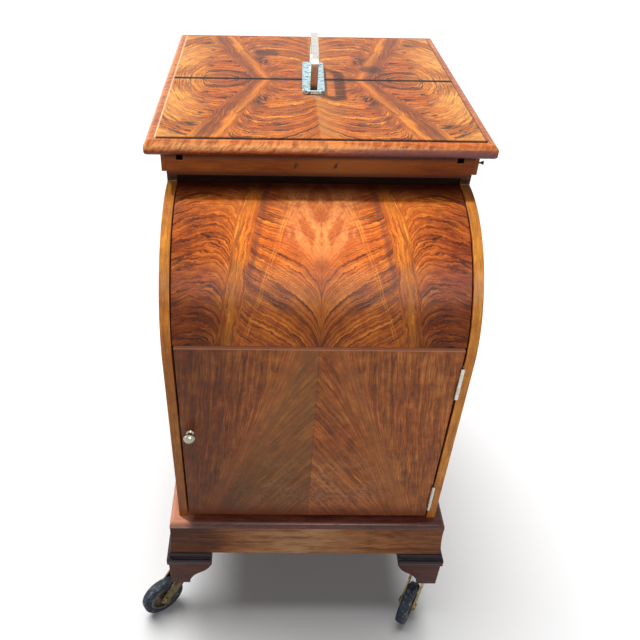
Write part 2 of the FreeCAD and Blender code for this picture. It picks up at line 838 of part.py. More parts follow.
def door():
    bore = rod("y", "spindle_radius + running_fit", "door_thick + 2", "knob_x", "front - 1",
               "knob_z")
    keep("door_panel", cut(block("-door_half", "door_half", "front", "door_back",
                                 "door_low", "door_top"), bore))
    lows = ["(door_low + hinge_inset_low - hinge_length / 2)",
            "(door_top - hinge_inset_high - hinge_length / 2)"]
    keep("hinge_side_leaves", group(*[hinge(low, False) for low in lows]))
    keep("hinge_door_leaves", group(*[hinge(low, True) for low in lows]))

    cap = "(knob_length - knob_dome)"
    dome = "((knob_radius ^ 2 + knob_dome ^ 2) / (2 * knob_dome))"
    knob = turned("XZ_Plane", [
        ("0", "-door_thick - door_stop_gap - tongue_thick"),
        ("spindle_radius", "-door_thick - door_stop_gap - tongue_thick"),
        ("spindle_radius", "knob_gap"),
        ("knob_rose_radius", "knob_gap"),
        ("knob_rose_radius", "knob_rose_thick"),
        ("knob_neck_radius", "2 * knob_rose_thick"),
        ("knob_neck_radius", f"{cap} - knob_flare"),
        ("knob_radius", cap),
        ("0", "knob_length", "0", f"knob_length - {dome}", dome),
    ])
    knob.Placement = FreeCAD.Placement(FreeCAD.Vector(),
                                       FreeCAD.Rotation(FreeCAD.Vector(1, 0, 0), 90))
    keep("door_knob", put(knob, "knob_x", "front", "knob_z"))
    tongue = block("knob_x - tongue_wide / 2", "knob_x + tongue_wide / 2", "tongue_y",
                   "tongue_y + tongue_thick", "knob_z - tongue_wide / 2", "knob_z + tongue_reach")
    hole = rod("y", "spindle_radius", "tongue_thick + 2", "knob_x", "tongue_y - 1", "knob_z")
    keep("latch_tongue", cut(tongue, hole))


# ---- base ----

def base():
    board = prism("XY_Plane", [
        ("-half_width - board_out", "front - board_out"),
        ("half_width + board_out", "front - board_out"),
        ("half_width + board_out", "rear + board_out"),
        ("-half_width - board_out", "rear + board_out"),
    ], "board_low", "base_top")
    keep("base_board", rounded(board, "board_round",
                               lambda middle, edge: middle.z > value("board_thick") - 0.01))

    for node, end in (("base_front_rail", -1), ("base_rear_rail", 1)):
        keep(node, base_rail(True, end))
    keep("base_side_rails", group(base_rail(False, -1), base_rail(False, 1)))


def base_rail(along_x, sign):
    """One mitred side of the base, its face slightly hollow and wider at the foot."""
    half = "rear" if along_x else "half_width"
    run = "half_width" if along_x else "rear"

    def across(text):
        return f"{sign} * ({half} + {text})"
    # the centre of the hollow lies outside the face, level with the middle of the chord
    lean = "((base_out_low - base_out_top) / base_rail_height)"
    chord = f"(sqrt(base_rail_height ^ 2 + (base_out_low - base_out_top) ^ 2) / 2)"
    far = f"sqrt(base_hollow_radius ^ 2 - {chord} ^ 2)"
    tilt = f"sqrt(1 + {lean} ^ 2)"
    centre_out = f"(base_out_low + base_out_top) / 2 + {far} / {tilt}"
    centre_up = f"(foot_top + board_low) / 2 + {far} * {lean} / {tilt}"
    section = [
        (across("base_out_low - base_rail_thick"), "foot_top"),
        (across("base_out_low"), "foot_top"),
        (across("base_out_top"), "board_low", across(centre_out), centre_up,
         "base_hollow_radius"),
        (across("base_out_low - base_rail_thick"), "board_low"),
    ]
    role = "YZ_Plane" if along_x else "XZ_Plane"
    reach = f"({run} + base_out_low)"
    bar = prism(role, section, f"-{reach}", reach)
    inner = "(base_out_low - base_rail_thick)"
    plan = []
    for run_side, out in ((-1, inner), (-1, "(base_out_low + 5)"), (1, "(base_out_low + 5)"),
                          (1, inner)):
        long_way = f"{run_side} * ({run} + {out})"
        out_way = f"{sign} * ({half} + {out})"
        plan.append((long_way, out_way) if along_x else (out_way, long_way))
    return common(bar, prism("XY_Plane", plan, "foot_top - 1", "board_low + 1"))


def foot_outline(sign, face, span, toe):
    """Side view of a bracket foot: stepped cap outside, ogee inside down to the toe."""
    def across(text):
        return f"{sign} * ({face} + ({text}))"
    cap_low = "(foot_clearance + foot_bracket_height)"
    step = f"({cap_low} + foot_step_height)"
    inner_top = f"foot_out - {span}"
    inner_toe = f"foot_out - {toe}"
    # the ogee is two arcs of one radius that meet half-way
    half_run = f"(({span} - {toe}) / 2)"
    half_rise = "((foot_bracket_height - foot_toe_height) / 2)"
    mid = (across(f"foot_out - {span} + {half_run}"), f"{cap_low} - {half_rise}")
    chord = f"(sqrt({half_run} ^ 2 + {half_rise} ^ 2) / 2)"
    away = f"(sqrt(foot_curve_radius ^ 2 - {chord} ^ 2) / (2 * {chord}))"
    upper_x = across(f"{inner_top} + {half_run} / 2 + {half_rise} * {away}")
    upper_z = f"{cap_low} - {half_rise} / 2 + {half_run} * {away}"
    lower_x = across(f"{inner_toe} - {half_run} / 2 - {half_rise} * {away}")
    lower_z = f"{cap_low} - {half_rise} * 1.5 - {half_run} * {away}"
    return [
        (across(inner_toe), "foot_clearance"),
        (across("foot_out"), "foot_clearance"),
        (across("foot_out"), cap_low),
        (across("foot_out + foot_step_one"), cap_low),
        (across("foot_out + foot_step_one"), step),
        (across("foot_out - foot_step_two"), step),
        (across("foot_out - foot_step_two"), "foot_top"),
        (across(inner_top), "foot_top"),
        (across(inner_top), cap_low),
        (*mid, upper_x, upper_z, "foot_curve_radius"),
        (across(inner_toe), "foot_clearance + foot_toe_height", lower_x, lower_z, "foot_curve_radius"),
    ]


FOOT_NAMES = {(-1, -1): "front_left", (1, -1): "front_right",
              (-1, 1): "rear_left", (1, 1): "rear_right"}


def feet():
    sockets = []
    for (side, end), name in FOOT_NAMES.items():
        wide = prism("XZ_Plane", foot_outline(side, "half_width", "foot_span", "foot_toe_wide"),
                     "front - 2 * foot_out", "rear + 2 * foot_out")
        deep = prism("YZ_Plane", foot_outline(end, "rear", "foot_span", "foot_toe_deep"),
                     "-half_width - 2 * foot_out", "half_width + 2 * foot_out")
        x = f"{side} * caster_x"
        y = f"{end} * caster_y"
        tube = rod("z", "socket_radius", "caster_stem_height", x, y, "foot_clearance")
        keep(f"foot_{name}", cut(common(wide, deep), tube))
        plate = rod("z", "socket_plate_radius", "socket_plate_thick", x, y, "socket_low")
        bore = rod("z", "caster_stem_radius + running_fit",
                   "caster_stem_height + socket_plate_thick - 1", x, y, "socket_low - 1")
        sockets.append(cut(join(tube, plate), bore))
    keep("caster_sockets", group(*sockets))


# ---- casters ----

def at_caster(thing, side, end, turn, lift="0", trail="0"):
    """Stands a caster piece under its foot, turned about the stem and carried back by trail."""
    angle = f"({turn}) * 1deg"
    return stand(thing, turn, f"{side} * caster_x + {trail} * sin({angle})",
                 f"{end} * caster_y - {trail} * cos({angle})", lift)


def fork():
    """Brass horn of a caster: crown, two cheeks and the stem, with the axle riveted across."""
    reach = "-fork_trail"
    slope = "(fork_boss_radius * sqrt(0.5))"
    boss = (reach, "wheel_radius")
    outline = [
        ("crown_back", "crown_low"),
        ("crown_back", "crown_top"),
        ("-crown_front", "crown_top"),
        (f"{reach} - {slope}", f"wheel_radius + {slope}"),
        (f"{reach} - {slope}", f"wheel_radius - {slope}", *boss, "fork_boss_radius"),
        (f"{reach} + {slope}", f"wheel_radius - {slope}", *boss, "fork_boss_radius"),
    ]
    half = "(fork_inside / 2 + fork_plate)"
    cheeks = prism("YZ_Plane", outline, f"-{half}", half)
    slot = block("-fork_inside / 2", "fork_inside / 2", f"{reach} - 2 * fork_boss_radius",
                 "crown_back + 1", "0", "crown_low")
    axle_hole = rod("x", "axle_radius", f"2 * {half}", f"-{half}", reach, "wheel_radius")
    stem = rod("z", "caster_stem_radius", "caster_stem_height", "0", "0", "crown_top")
    axle = join(
        rod("x", "axle_radius", f"2 * {half}", f"-{half}", reach, "wheel_radius"),
        rod("x", "axle_head_radius", "axle_head_thick", half, reach, "wheel_radius"),
        rod("x", "axle_head_radius", "axle_head_thick", f"-{half} - axle_head_thick", reach,
            "wheel_radius"))
    return group(cut(join(cheeks, stem), slot, axle_hole), axle)


def tyre():
    half = "(wheel_width / 2)"
    shoulder = "(wheel_radius - tyre_round)"
    inner = f"({half} - tyre_round)"
    return turned("XY_Plane", [
        (f"-{half}", "hub_radius"),
        (half, "hub_radius"),
        (half, shoulder),
        (inner, "wheel_radius", inner, shoulder, "tyre_round"),
        (f"-{inner}", "wheel_radius"),
        (f"-{half}", shoulder, f"-{inner}", shoulder, "tyre_round"),
    ], "H_Axis")


def hub():
    rim = "(wheel_width / 2)"
    web = "(hub_web / 2)"
    boss = "(hub_boss_width / 2)"
    bore = "axle_radius + running_fit"
    return turned("XY_Plane", [
        (f"-{boss}", bore),
        (boss, bore),
        (boss, "hub_boss_radius"),
        (web, "hub_boss_radius"),
        (web, "hub_radius - hub_rim"),
        (rim, "hub_radius - hub_rim"),
        (rim, "hub_radius"),
        (f"-{rim}", "hub_radius"),
        (f"-{rim}", "hub_radius - hub_rim"),
        (f"-{web}", "hub_radius - hub_rim"),
        (f"-{web}", "hub_boss_radius"),
        (f"-{boss}", "hub_boss_radius"),
    ], "H_Axis")


CASTER_TURNS = {"front_left": "angle_front_left", "front_right": "angle_front_right",
                "rear_left": "angle_front_right + 180", "rear_right": "angle_front_left + 180"}


def casters():
    for (side, end), name in FOOT_NAMES.items():
        turn = CASTER_TURNS[name]
        keep(f"caster_fork_{name}", at_caster(fork(), side, end, turn))
        keep(f"caster_hub_{name}", at_caster(hub(), side, end, turn, "wheel_radius",
                                             "fork_trail"))
        keep(f"caster_tyre_{name}", at_caster(tyre(), side, end, turn, "wheel_radius",
                                              "fork_trail"))


carcass()
neck()
moulded_top()
flap("front_flap", -1)
flap("rear_flap", 1)
lift()
catch()
door()
base()
feet()
casters()
doc.recompute()

faults = [f"{item.Name} {item.State}" for item in doc.Objects
          if "Invalid" in item.State or "Error" in item.State]
for node, thing in nodes.items():
    if thing.Shape.isNull() or not thing.Shape.isValid() or not thing.Shape.Solids:
        faults.append(f"{node} has no valid solid")
if faults:
    raise RuntimeError("; ".join(faults))

os.makedirs("parts", exist_ok=True)
for node, thing in nodes.items():
    thing.Shape.exportStep(f"parts/{node}.step")
print(len(nodes), "nodes")
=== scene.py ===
"""Looks of a walnut cellarette on casters: veneers, solid walnut, nickel, brass and rubber."""
import math

import bmesh
import bpy
from mathutils import Matrix, Vector


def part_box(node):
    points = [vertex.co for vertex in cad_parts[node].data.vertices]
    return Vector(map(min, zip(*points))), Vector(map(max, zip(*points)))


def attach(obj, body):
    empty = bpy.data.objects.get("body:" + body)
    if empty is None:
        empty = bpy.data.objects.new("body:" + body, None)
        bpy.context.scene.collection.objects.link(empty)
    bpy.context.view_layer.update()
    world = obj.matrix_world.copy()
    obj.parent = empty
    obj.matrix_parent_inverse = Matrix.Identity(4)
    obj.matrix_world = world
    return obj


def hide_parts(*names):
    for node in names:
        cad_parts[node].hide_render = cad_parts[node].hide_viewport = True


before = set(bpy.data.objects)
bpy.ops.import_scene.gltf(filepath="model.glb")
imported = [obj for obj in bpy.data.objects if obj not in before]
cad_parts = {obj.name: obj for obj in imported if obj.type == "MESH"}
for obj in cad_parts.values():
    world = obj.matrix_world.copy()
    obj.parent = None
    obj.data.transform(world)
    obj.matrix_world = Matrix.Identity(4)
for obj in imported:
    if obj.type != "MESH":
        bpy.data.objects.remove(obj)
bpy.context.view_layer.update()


# ---- Standpoint, daylight and floor ----
# Somebody who stands in front of the cabinet looks down on it from a little left of its middle.
# A soft sun stands behind the left side, so the top and the left side are bright and the door
# lies in plain shade, and a pale floor carries the shadow.

EYE = Vector((-0.0760, -1.0552, 1.2689))
EYE_YAW = 0.0154
EYE_PITCH = 0.6609
EYE_ROLL = -0.0198

ahead = Vector((math.sin(EYE_YAW) * math.cos(EYE_PITCH), math.cos(EYE_YAW) * math.cos(EYE_PITCH),
    -math.sin(EYE_PITCH)))
level = Vector((math.cos(EYE_YAW), -math.sin(EYE_YAW), 0))
down = ahead.cross(level)
right = math.cos(EYE_ROLL) * level + math.sin(EYE_ROLL) * down
under = math.cos(EYE_ROLL) * down - math.sin(EYE_ROLL) * level

eye = bpy.data.cameras.new("standpoint")
eye.lens = 38.54
eye.sensor_width = 36
eye.shift_x = 0.0725
eye.shift_y = -0.0128
standpoint = bpy.data.objects.new("standpoint", eye)
standpoint.matrix_world = Matrix.Translation(EYE) @ Matrix((right, -under, -ahead)).transposed().to_4x4()
bpy.context.scene.collection.objects.link(standpoint)
bpy.context.scene.camera = standpoint
bpy.context.scene.view_settings.view_transform = "Standard"


def lamp(name, receivers, kind, strength, spot, aim, colour, **settings):
    """A lamp at a spot that points at its aim, and lights its receivers alone."""
    light = bpy.data.lights.new(name, kind)
    light.energy = strength
    light.color = colour
    for setting, value in settings.items():
        setattr(light, setting, value)
    item = bpy.data.objects.new(name, light)
    item.location = spot
    item.rotation_euler = (Vector(aim) - Vector(spot)).to_track_quat("-Z", "Y").to_euler()
    item.light_linking.receiver_collection = receivers
    bpy.context.scene.collection.objects.link(item)


def lamp_list(name, item, state):
    """A list of receivers, which are an item alone or all but it."""
    receivers = bpy.data.collections.new(name)
    receivers.objects.link(item)
    receivers.collection_objects[0].light_linking.link_state = state
    return receivers


def where_seen(tree):
    """1 where the camera or a mirror looks, and 0 where light falls."""
    path = tree.nodes.new("ShaderNodeLightPath")
    either = tree.nodes.new("ShaderNodeMath")
    either.operation = "MAXIMUM"
    tree.links.new(path.outputs["Is Camera Ray"], either.inputs[0])
    tree.links.new(path.outputs["Is Glossy Ray"], either.inputs[1])
    return either.outputs[0]


WHITE = (1, 1, 1, 1)
FLOOR_REACH = 14.0
FLOOR_LIT = (0.36, 0.36, 0.36, 1)
FLOOR_SEEN = (0.92, 0.92, 0.92, 1)
FLOOR_GLOW = 0.07
floor_mesh = bpy.data.meshes.new("floor")
floor_mesh.from_pydata([(x, y, 0) for x, y in ((-1, -1), (1, -1), (1, 1), (-1, 1))], [], [(0, 1, 2, 3)])
floor_mesh.transform(Matrix.Scale(FLOOR_REACH, 4))
floor = bpy.data.objects.new("floor", floor_mesh)
bpy.context.scene.collection.objects.link(floor)
floor_paint = bpy.data.materials.new("pale_floor")
floor_paint.use_nodes = True
floor_nodes = floor_paint.node_tree.nodes
floor_shader = floor_nodes["Principled BSDF"]
floor_shader.inputs["Roughness"].default_value = 0.95
floor_shader.inputs["Specular IOR Level"].default_value = 0.0
floor_tint = floor_nodes.new("ShaderNodeMix")
floor_tint.data_type = "RGBA"
floor_tint.inputs[6].default_value = FLOOR_LIT
floor_tint.inputs[7].default_value = FLOOR_SEEN
floor_glow = floor_nodes.new("ShaderNodeMath")
floor_glow.operation = "MULTIPLY"
floor_glow.inputs[1].default_value = FLOOR_GLOW
floor_shader.inputs["Emission Color"].default_value = WHITE
floor_seen = where_seen(floor_paint.node_tree)
for source, target in (
        (floor_seen, floor_glow.inputs[0]),
        (floor_glow.outputs[0], floor_shader.inputs["Emission Strength"]),
        (floor_seen, floor_tint.inputs["Factor"]),
        (floor_tint.outputs[2], floor_shader.inputs["Base Color"])):
    floor_paint.node_tree.links.new(source, target)
floor_mesh.materials.append(floor_paint)

object_alone = lamp_list("not_the_floor", floor, "EXCLUDE")
floor_alone = lamp_list("floor_alone", floor, "INCLUDE")
lamp("soft_sun", object_alone, "SUN", 5.0, (0, 0, 0), (0.557, -0.389, -0.733), (1.0, 0.94, 0.84),
    angle=math.radians(2.5))
lamp("floor_sun", floor_alone, "SUN", 4.0, (0, 0, 0), (0.13, -0.38, -1.0), (1, 1, 1),
    angle=math.radians(52.0))
lamp("front_sky", object_alone, "AREA", 84, (0.4, -2.9, 2.7), (0, -0.1, 0.5), (1.0, 0.97, 0.93),
    shape="DISK", size=2.2)
lamp("left_sky", object_alone, "AREA", 12, (-3.0, -0.6, 1.8), (0, 0, 0.5), (1.0, 0.98, 0.96),
    shape="DISK", size=1.8)

sky = bpy.data.worlds.new("sky")
bpy.context.scene.world = sky
sky.use_nodes = True
sky_nodes = sky.node_tree.nodes
sky_light = sky_nodes["Background"]
sky_shown = sky_nodes.new("ShaderNodeBackground")
for background, strength in ((sky_light, 0.06), (sky_shown, 1.0)):
    background.inputs["Color"].default_value = WHITE
    background.inputs["Strength"].default_value = strength
sky_mix = sky_nodes.new("ShaderNodeMixShader")
for source, target in (
        (where_seen(sky.node_tree), sky_mix.inputs[0]),
        (sky_light.outputs[0], sky_mix.inputs[1]),
        (sky_shown.outputs[0], sky_mix.inputs[2]),
        (sky_mix.outputs[0], sky_nodes["World Output"].inputs[0])):
    sky.node_tree.links.new(source, target)


# ---- Carcass sides ----
# Two upright boards of walnut-faced ply with a quarter-round shoulder.  Their faces are veneered
# with straight walnut, and a lipping of honey-coloured solid wood runs round the front edge.

class NodeTree:
    """A node tree that is built a line at a time."""

    def feed(self, socket, source):
        """Links a source to a socket, or sets the socket to a plain number, colour or name."""
        if isinstance(source, bpy.types.NodeSocket):
            self.links.new(source, socket)
        else:
            socket.default_value = (*source, 1) if socket.type == "RGBA" else source

    def step(self, kind, feeds, out=0, **settings):
        """An output of a new node, with its sockets fed by place or by name."""
        node = self.nodes.new(kind)
        for name, value in settings.items():
            setattr(node, name, value)
        for socket, source in feeds.items():
            self.feed(node.inputs[socket], source)
        return node.outputs[out]

    def calc(self, operation, *values):
        return self.step("ShaderNodeMath", dict(enumerate(values)), operation=operation)

    def add(self, *values):
        total = values[0]
        for value in values[1:]:
            total = self.calc("ADD", total, value)
        return total

    def times(self, *values):
        total = values[0]
        for value in values[1:]:
            total = self.calc("MULTIPLY", total, value)
        return total

    def less(self, first, second):
        return self.calc("SUBTRACT", first, second)

    def vector(self, x, y, z=0.0):
        return self.step("ShaderNodeCombineXYZ", {0: x, 1: y, 2: z})

    def parts(self, vector):
        """The x, y and z of a vector."""
        node = self.nodes.new("ShaderNodeSeparateXYZ")
        self.links.new(vector, node.inputs[0])
        return node.outputs


class Finish(NodeTree):
    """A surface finish, looked up by place on the object, and laid on coat by coat."""

    def __init__(self, name, colour=None, **constants):
        self.material = bpy.data.materials.new(name)
        self.material.use_nodes = True
        self.nodes = self.material.node_tree.nodes
        self.links = self.material.node_tree.links
        self.shader = self.nodes["Principled BSDF"]
        for socket, number in constants.items():
            self.shader.inputs[socket.replace("_", " ").title().replace("Ior", "IOR")].default_value = number
        self.place = self.nodes.new("ShaderNodeTexCoord").outputs["Object"]
        self.x, self.y, self.z = self.parts(self.place)
        self.colour = colour

    def reach(self, *legs):
        """How far a place lies from another, from its distances along each axis."""
        return self.calc("SQRT", self.add(*[self.times(leg, leg) for leg in legs]))

    def noise(self, vector, scale, detail, roughness=0.5):
        return self.step("ShaderNodeTexNoise",
            {"Vector": vector, "Scale": scale, "Detail": detail, "Roughness": roughness})

    def streaks(self, first, often, second, seldom, seed, detail=2.0, roughness=0.5):
        """Noise over two measures, each at its own rate."""
        place = self.vector(self.times(first, often), self.times(second, seldom), seed)
        return self.noise(place, 1, detail, roughness)

    def swing(self, value, amount):
        """A value round a half, as an amount to either side of nought."""
        return self.times(self.less(value, 0.5), amount)

    def between(self, value, low, high):
        """0 at low and before it, 1 at high and past it, with a smooth step from one to the other."""
        return self.step("ShaderNodeMapRange", {0: value, 1: low, 2: high, 3: 0.0, 4: 1.0},
            interpolation_type="SMOOTHSTEP")

    def ridge(self, value, middle, half):
        """1 at the middle, falling to 0 at half to either side."""
        return self.between(self.calc("ABSOLUTE", self.less(value, middle)), half, 0.0)

    def ramp(self, value, stops):
        node = self.nodes.new("ShaderNodeValToRGB")
        self.links.new(value, node.inputs[0])
        marks = node.color_ramp.elements
        while len(marks) < len(stops):
            marks.new(0.5)
        for mark, (spot, colour) in zip(marks, stops):
            mark.position = spot
            mark.color = (*colour, 1)
        return node.outputs["Color"]

    def mix(self, share, first, second, way="MIX"):
        """A colour between two colours, or on its way to their product."""
        return self.step("ShaderNodeMix", {"Factor": share, 6: first, 7: second}, out=2,
            data_type="RGBA", blend_type=way)

    def blend(self, share, first, second):
        """A number between two numbers."""
        return self.step("ShaderNodeMix", {"Factor": share, 2: first, 3: second})

    def paint(self, paint, *shares):
        """Lays paint over the colour so far, as strongly as its shares multiplied."""
        self.colour = self.mix(self.times(*shares), self.colour, paint)

    def stain(self, stain, *shares):
        """The same with a stain, which multiplies the colour under it."""
        self.colour = self.mix(self.times(*shares), self.colour, stain, "MULTIPLY")

    def surface(self, roughness, height=None, depth=0.0002):
        """Sends the colour, the roughness and a relief (in metres) to the shader."""
        self.feed(self.shader.inputs["Base Color"], self.colour)
        self.feed(self.shader.inputs["Roughness"], roughness)
        if height is not None:
            bump = self.step("ShaderNodeBump", {"Distance": depth, "Strength": 1.0, "Height": height})
            self.links.new(bump, self.shader.inputs["Normal"])
        return self.material

    def grained(self, depth):
        """The surface of wood that walnut has been laid on, with its pores this deep."""
        return self.surface(self.sheen, self.relief, depth)


SAWN_DEPTH = 0.00016
VENEER_DEPTH = 0.00012
LIPPING_DEPTH = 0.0001


def walnut(wood, spot, across, along, shades, seed, bold, inks, crinkle, polish):
    """Walnut, laid on by two places in metres, across the grain and along it.

    The spot is where its uneven parts are looked up.  The shades are its darkest line, its brown,
    its main colour and its lightest streak.  Bold is how strong its bands are, inks how dark its
    thin lines are, and crinkle how much they waver.
    """
    slow = wood.noise(spot, 13, 2)
    quick = wood.noise(spot, 58, 3, 0.6)
    tiny = wood.noise(spot, 230, 2)
    across = wood.add(across, wood.swing(slow, 0.015 * crinkle), wood.swing(quick, 0.0125 * crinkle),
        wood.swing(tiny, 0.0036 * crinkle))

    def lines(often, seldom, shift, detail, roughness=0.5):
        return wood.streaks(across, often, along, seldom, seed + shift, detail, roughness)

    bands = lines(34, 3, 0, 3, 0.6)
    stripes = lines(190, 9, 5, 2)
    hairs = lines(640, 34, 7, 1)
    pores = lines(1500, 70, 9, 1)
    trace = lines(64, 5, 17, 1)
    thread = lines(205, 9, 23, 1)
    gate = lines(34, 14, 29, 2)
    flecks = lines(260, 120, 31, 3, 0.7)
    patch = lines(9, 7, 37, 3, 0.6)
    mottle = wood.noise(spot, 46, 4, 0.7)
    tone = wood.add(wood.swing(bands, 0.95 * bold), wood.swing(stripes, 0.72), wood.swing(hairs, 0.60),
        wood.swing(mottle, 0.75), 0.58)
    wood.colour = wood.ramp(tone, list(zip((0.06, 0.34, 0.60, 0.92), shades)))
    wood.stain((0.86, 0.60, 0.62), wood.between(patch, 0.42, 0.62), 0.75 * bold)
    wood.paint(shades[3], wood.between(flecks, 0.54, 0.72), wood.between(patch, 0.60, 0.42), 0.42 * bold)
    years = wood.calc("SINE", wood.add(wood.times(across, 860), wood.times(slow, 16)))
    wood.paint(shades[1], wood.ridge(thread, 0.5, 0.090), wood.between(gate, 0.28, 0.50), 0.62 * inks)
    wood.paint(shades[0], wood.ridge(thread, 0.5, 0.042), wood.between(gate, 0.34, 0.52), 0.80 * inks)
    wood.paint(shades[0], wood.ridge(trace, 0.5, 0.024), wood.between(gate, 0.42, 0.50), inks)
    wood.paint(shades[0], wood.between(years, 0.78, 0.97), wood.between(gate, 0.60, 0.40), 0.62 * inks)
    specks = wood.between(pores, 0.58, 0.72)
    wood.paint(shades[0], specks, 0.36)
    wood.sheen = wood.add(wood.swing(mottle, 0.20), wood.times(specks, 0.10), polish)
    wood.relief = wood.add(wood.times(specks, -0.6), wood.times(stripes, 0.25), wood.times(mottle, 0.5))


def sawn(wood, shades, grain, heart, *character):
    """Walnut of a board from far off its trunk's heart, with uneven parts that are long along the grain."""
    places = {"x": wood.x, "y": wood.y, "z": wood.z}
    along = places.pop(grain)
    legs = [wood.less(place, middle) for place, middle in zip(places.values(), heart)]
    spot = wood.vector(*[wood.times(along, 0.20) if axis == grain else places[axis] for axis in "xyz"])
    walnut(wood, spot, wood.reach(*legs), along, shades, *character)


def board_walnut(name, shades, grain, heart, seed, bold=1.0, inks=0.5, crinkle=0.6, polish=0.34, **constants):
    """Solid walnut with nothing on it but its polish."""
    wood = Finish(name, **({"specular_ior_level": 0.17} | constants))
    sawn(wood, shades, grain, heart, seed, bold, inks, crinkle, polish)
    return wood.grained(SAWN_DEPTH)


def softened(name, mesh, width, steps=2, sharp=28):
    """A piece whose edges sharper than an angle are taken off, as those of a sanded board are."""
    mesh.materials.clear()
    for face in mesh.polygons:
        face.use_smooth = True
        face.material_index = 0
    mesh.set_sharp_from_angle(angle=math.radians(sharp))
    piece = bpy.data.objects.new(name, mesh)
    bpy.context.scene.collection.objects.link(piece)
    ease = piece.modifiers.new("ease", "BEVEL")
    ease.width = width
    ease.segments = steps
    ease.limit_method = "ANGLE"
    ease.angle_limit = math.radians(sharp)
    ease.harden_normals = True
    return piece


SAME_SPOT = 2e-6
SAME_PLANE = math.radians(0.5)


def eased(node, *edge):
    """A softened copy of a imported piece."""
    work = bmesh.new()
    work.from_mesh(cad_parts[node].data)
    bmesh.ops.remove_doubles(work, verts=work.verts, dist=SAME_SPOT)
    bmesh.ops.dissolve_limit(work, angle_limit=SAME_PLANE, verts=work.verts, edges=work.edges)
    mesh = bpy.data.meshes.new(node + "_piece")
    work.to_mesh(mesh)
    work.free()
    return softened(node + "_piece", mesh, *edge)


def dress(piece, body, node, slot, *materials):
    """Gives a piece its finishes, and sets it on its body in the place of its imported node."""
    for material in materials:
        piece.data.materials.append(material)
    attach(piece, body)
    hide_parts(node)


def second_finish(piece, wanted):
    """Gives the faces whose normal passes a test the second of the piece's finishes."""
    for face in piece.data.polygons:
        if wanted(face.normal):
            face.material_index = 1


def fitted(body, slot, material, edge, *nodes):
    """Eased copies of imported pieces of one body, dressed alike."""
    for node in nodes:
        dress(eased(node, *edge), body, node, slot, material)


POLISH = {"specular_ior_level": 0.17, "coat_weight": 0.06, "coat_roughness": 0.12}
PANEL_EDGE = (0.0012, 3)
SIDE_SHADES = ((0.050, 0.015, 0.007), (0.180, 0.048, 0.013), (0.340, 0.100, 0.022), (0.520, 0.195, 0.045))
LIPPING_SHADES = ((0.170, 0.055, 0.011), (0.340, 0.120, 0.020), (0.500, 0.190, 0.028), (0.720, 0.330, 0.050))
side_veneer = board_walnut("side_veneer", SIDE_SHADES, "z", (0.05, 0.42), 3.0, 0.7, 0.6, 0.9, **POLISH)


def lipping_finish():
    """Honey-coloured wood, with painted shade down its left leg and at its foot, a painted shadow under the
    overhang and painted near-black shade in the recess.
    """
    wood = Finish("honey_lipping", **POLISH)
    along = wood.add(wood.z, wood.y)
    walnut(wood, wood.place, wood.x, along, LIPPING_SHADES, 7.0, 0.5, 0.2, 0.15, 0.30)
    # Painted shade: the left leg is darker where it lies in shade.
    leg = wood.times(wood.between(wood.z, 0.70, 0.60), wood.between(wood.x, 0.0, -0.1))
    wood.stain((0.58, 0.52, 0.48), leg)
    # Painted shade: the lipping darkens towards its foot.
    heel = wood.between(wood.z, 0.42, 0.27)
    wood.stain((0.62, 0.50, 0.45), heel, 0.6)
    # Painted shadow of the overhanging top across the lipping.
    overhang_shadow = wood.between(wood.z, 0.781, 0.787)
    wood.stain((0.45, 0.34, 0.24), overhang_shadow, 0.40)
    # Painted shade: the recess under the neck is painted near-black.
    recess_shade = wood.between(wood.z, 0.800, 0.811)
    wood.paint((0.010, 0.004, 0.002), recess_shade, 0.96)
    return wood.grained(LIPPING_DEPTH)


honey_lipping = lipping_finish()
for side in ("left", "right"):
    board = eased(f"side_panel_{side}", *PANEL_EDGE)
    dress(board, "cabinet", f"side_panel_{side}", "carcass_walnut", side_veneer, honey_lipping)
    second_finish(board, lambda normal: abs(normal.x) < 0.5)


# ---- Back, floor, partition and shelf ----
# Boards of plainer walnut behind the show wood.  The back is screwed into the sides with brass
# screws, and the others are housed in the sides.

BOARD_EDGE = (0.0008,)
INNER_SHADES = ((0.070, 0.028, 0.014), (0.190, 0.085, 0.040), (0.290, 0.135, 0.062), (0.400, 0.205, 0.100))
inner_upright = board_walnut("inner_upright", INNER_SHADES, "z", (0.10, 0.55), 11.0, 0.8, 0.3, 0.5, 0.45)
inner_level = board_walnut("inner_level", INNER_SHADES, "x", (0.30, 0.10), 12.0, 0.8, 0.3, 0.5, 0.45)
back_walnut = board_walnut("back_walnut", SIDE_SHADES, "z", (0.12, 0.75), 5.0, 0.9, 0.5, 0.7)
fitted("cabinet", "carcass_walnut", back_walnut, BOARD_EDGE, "back_panel")


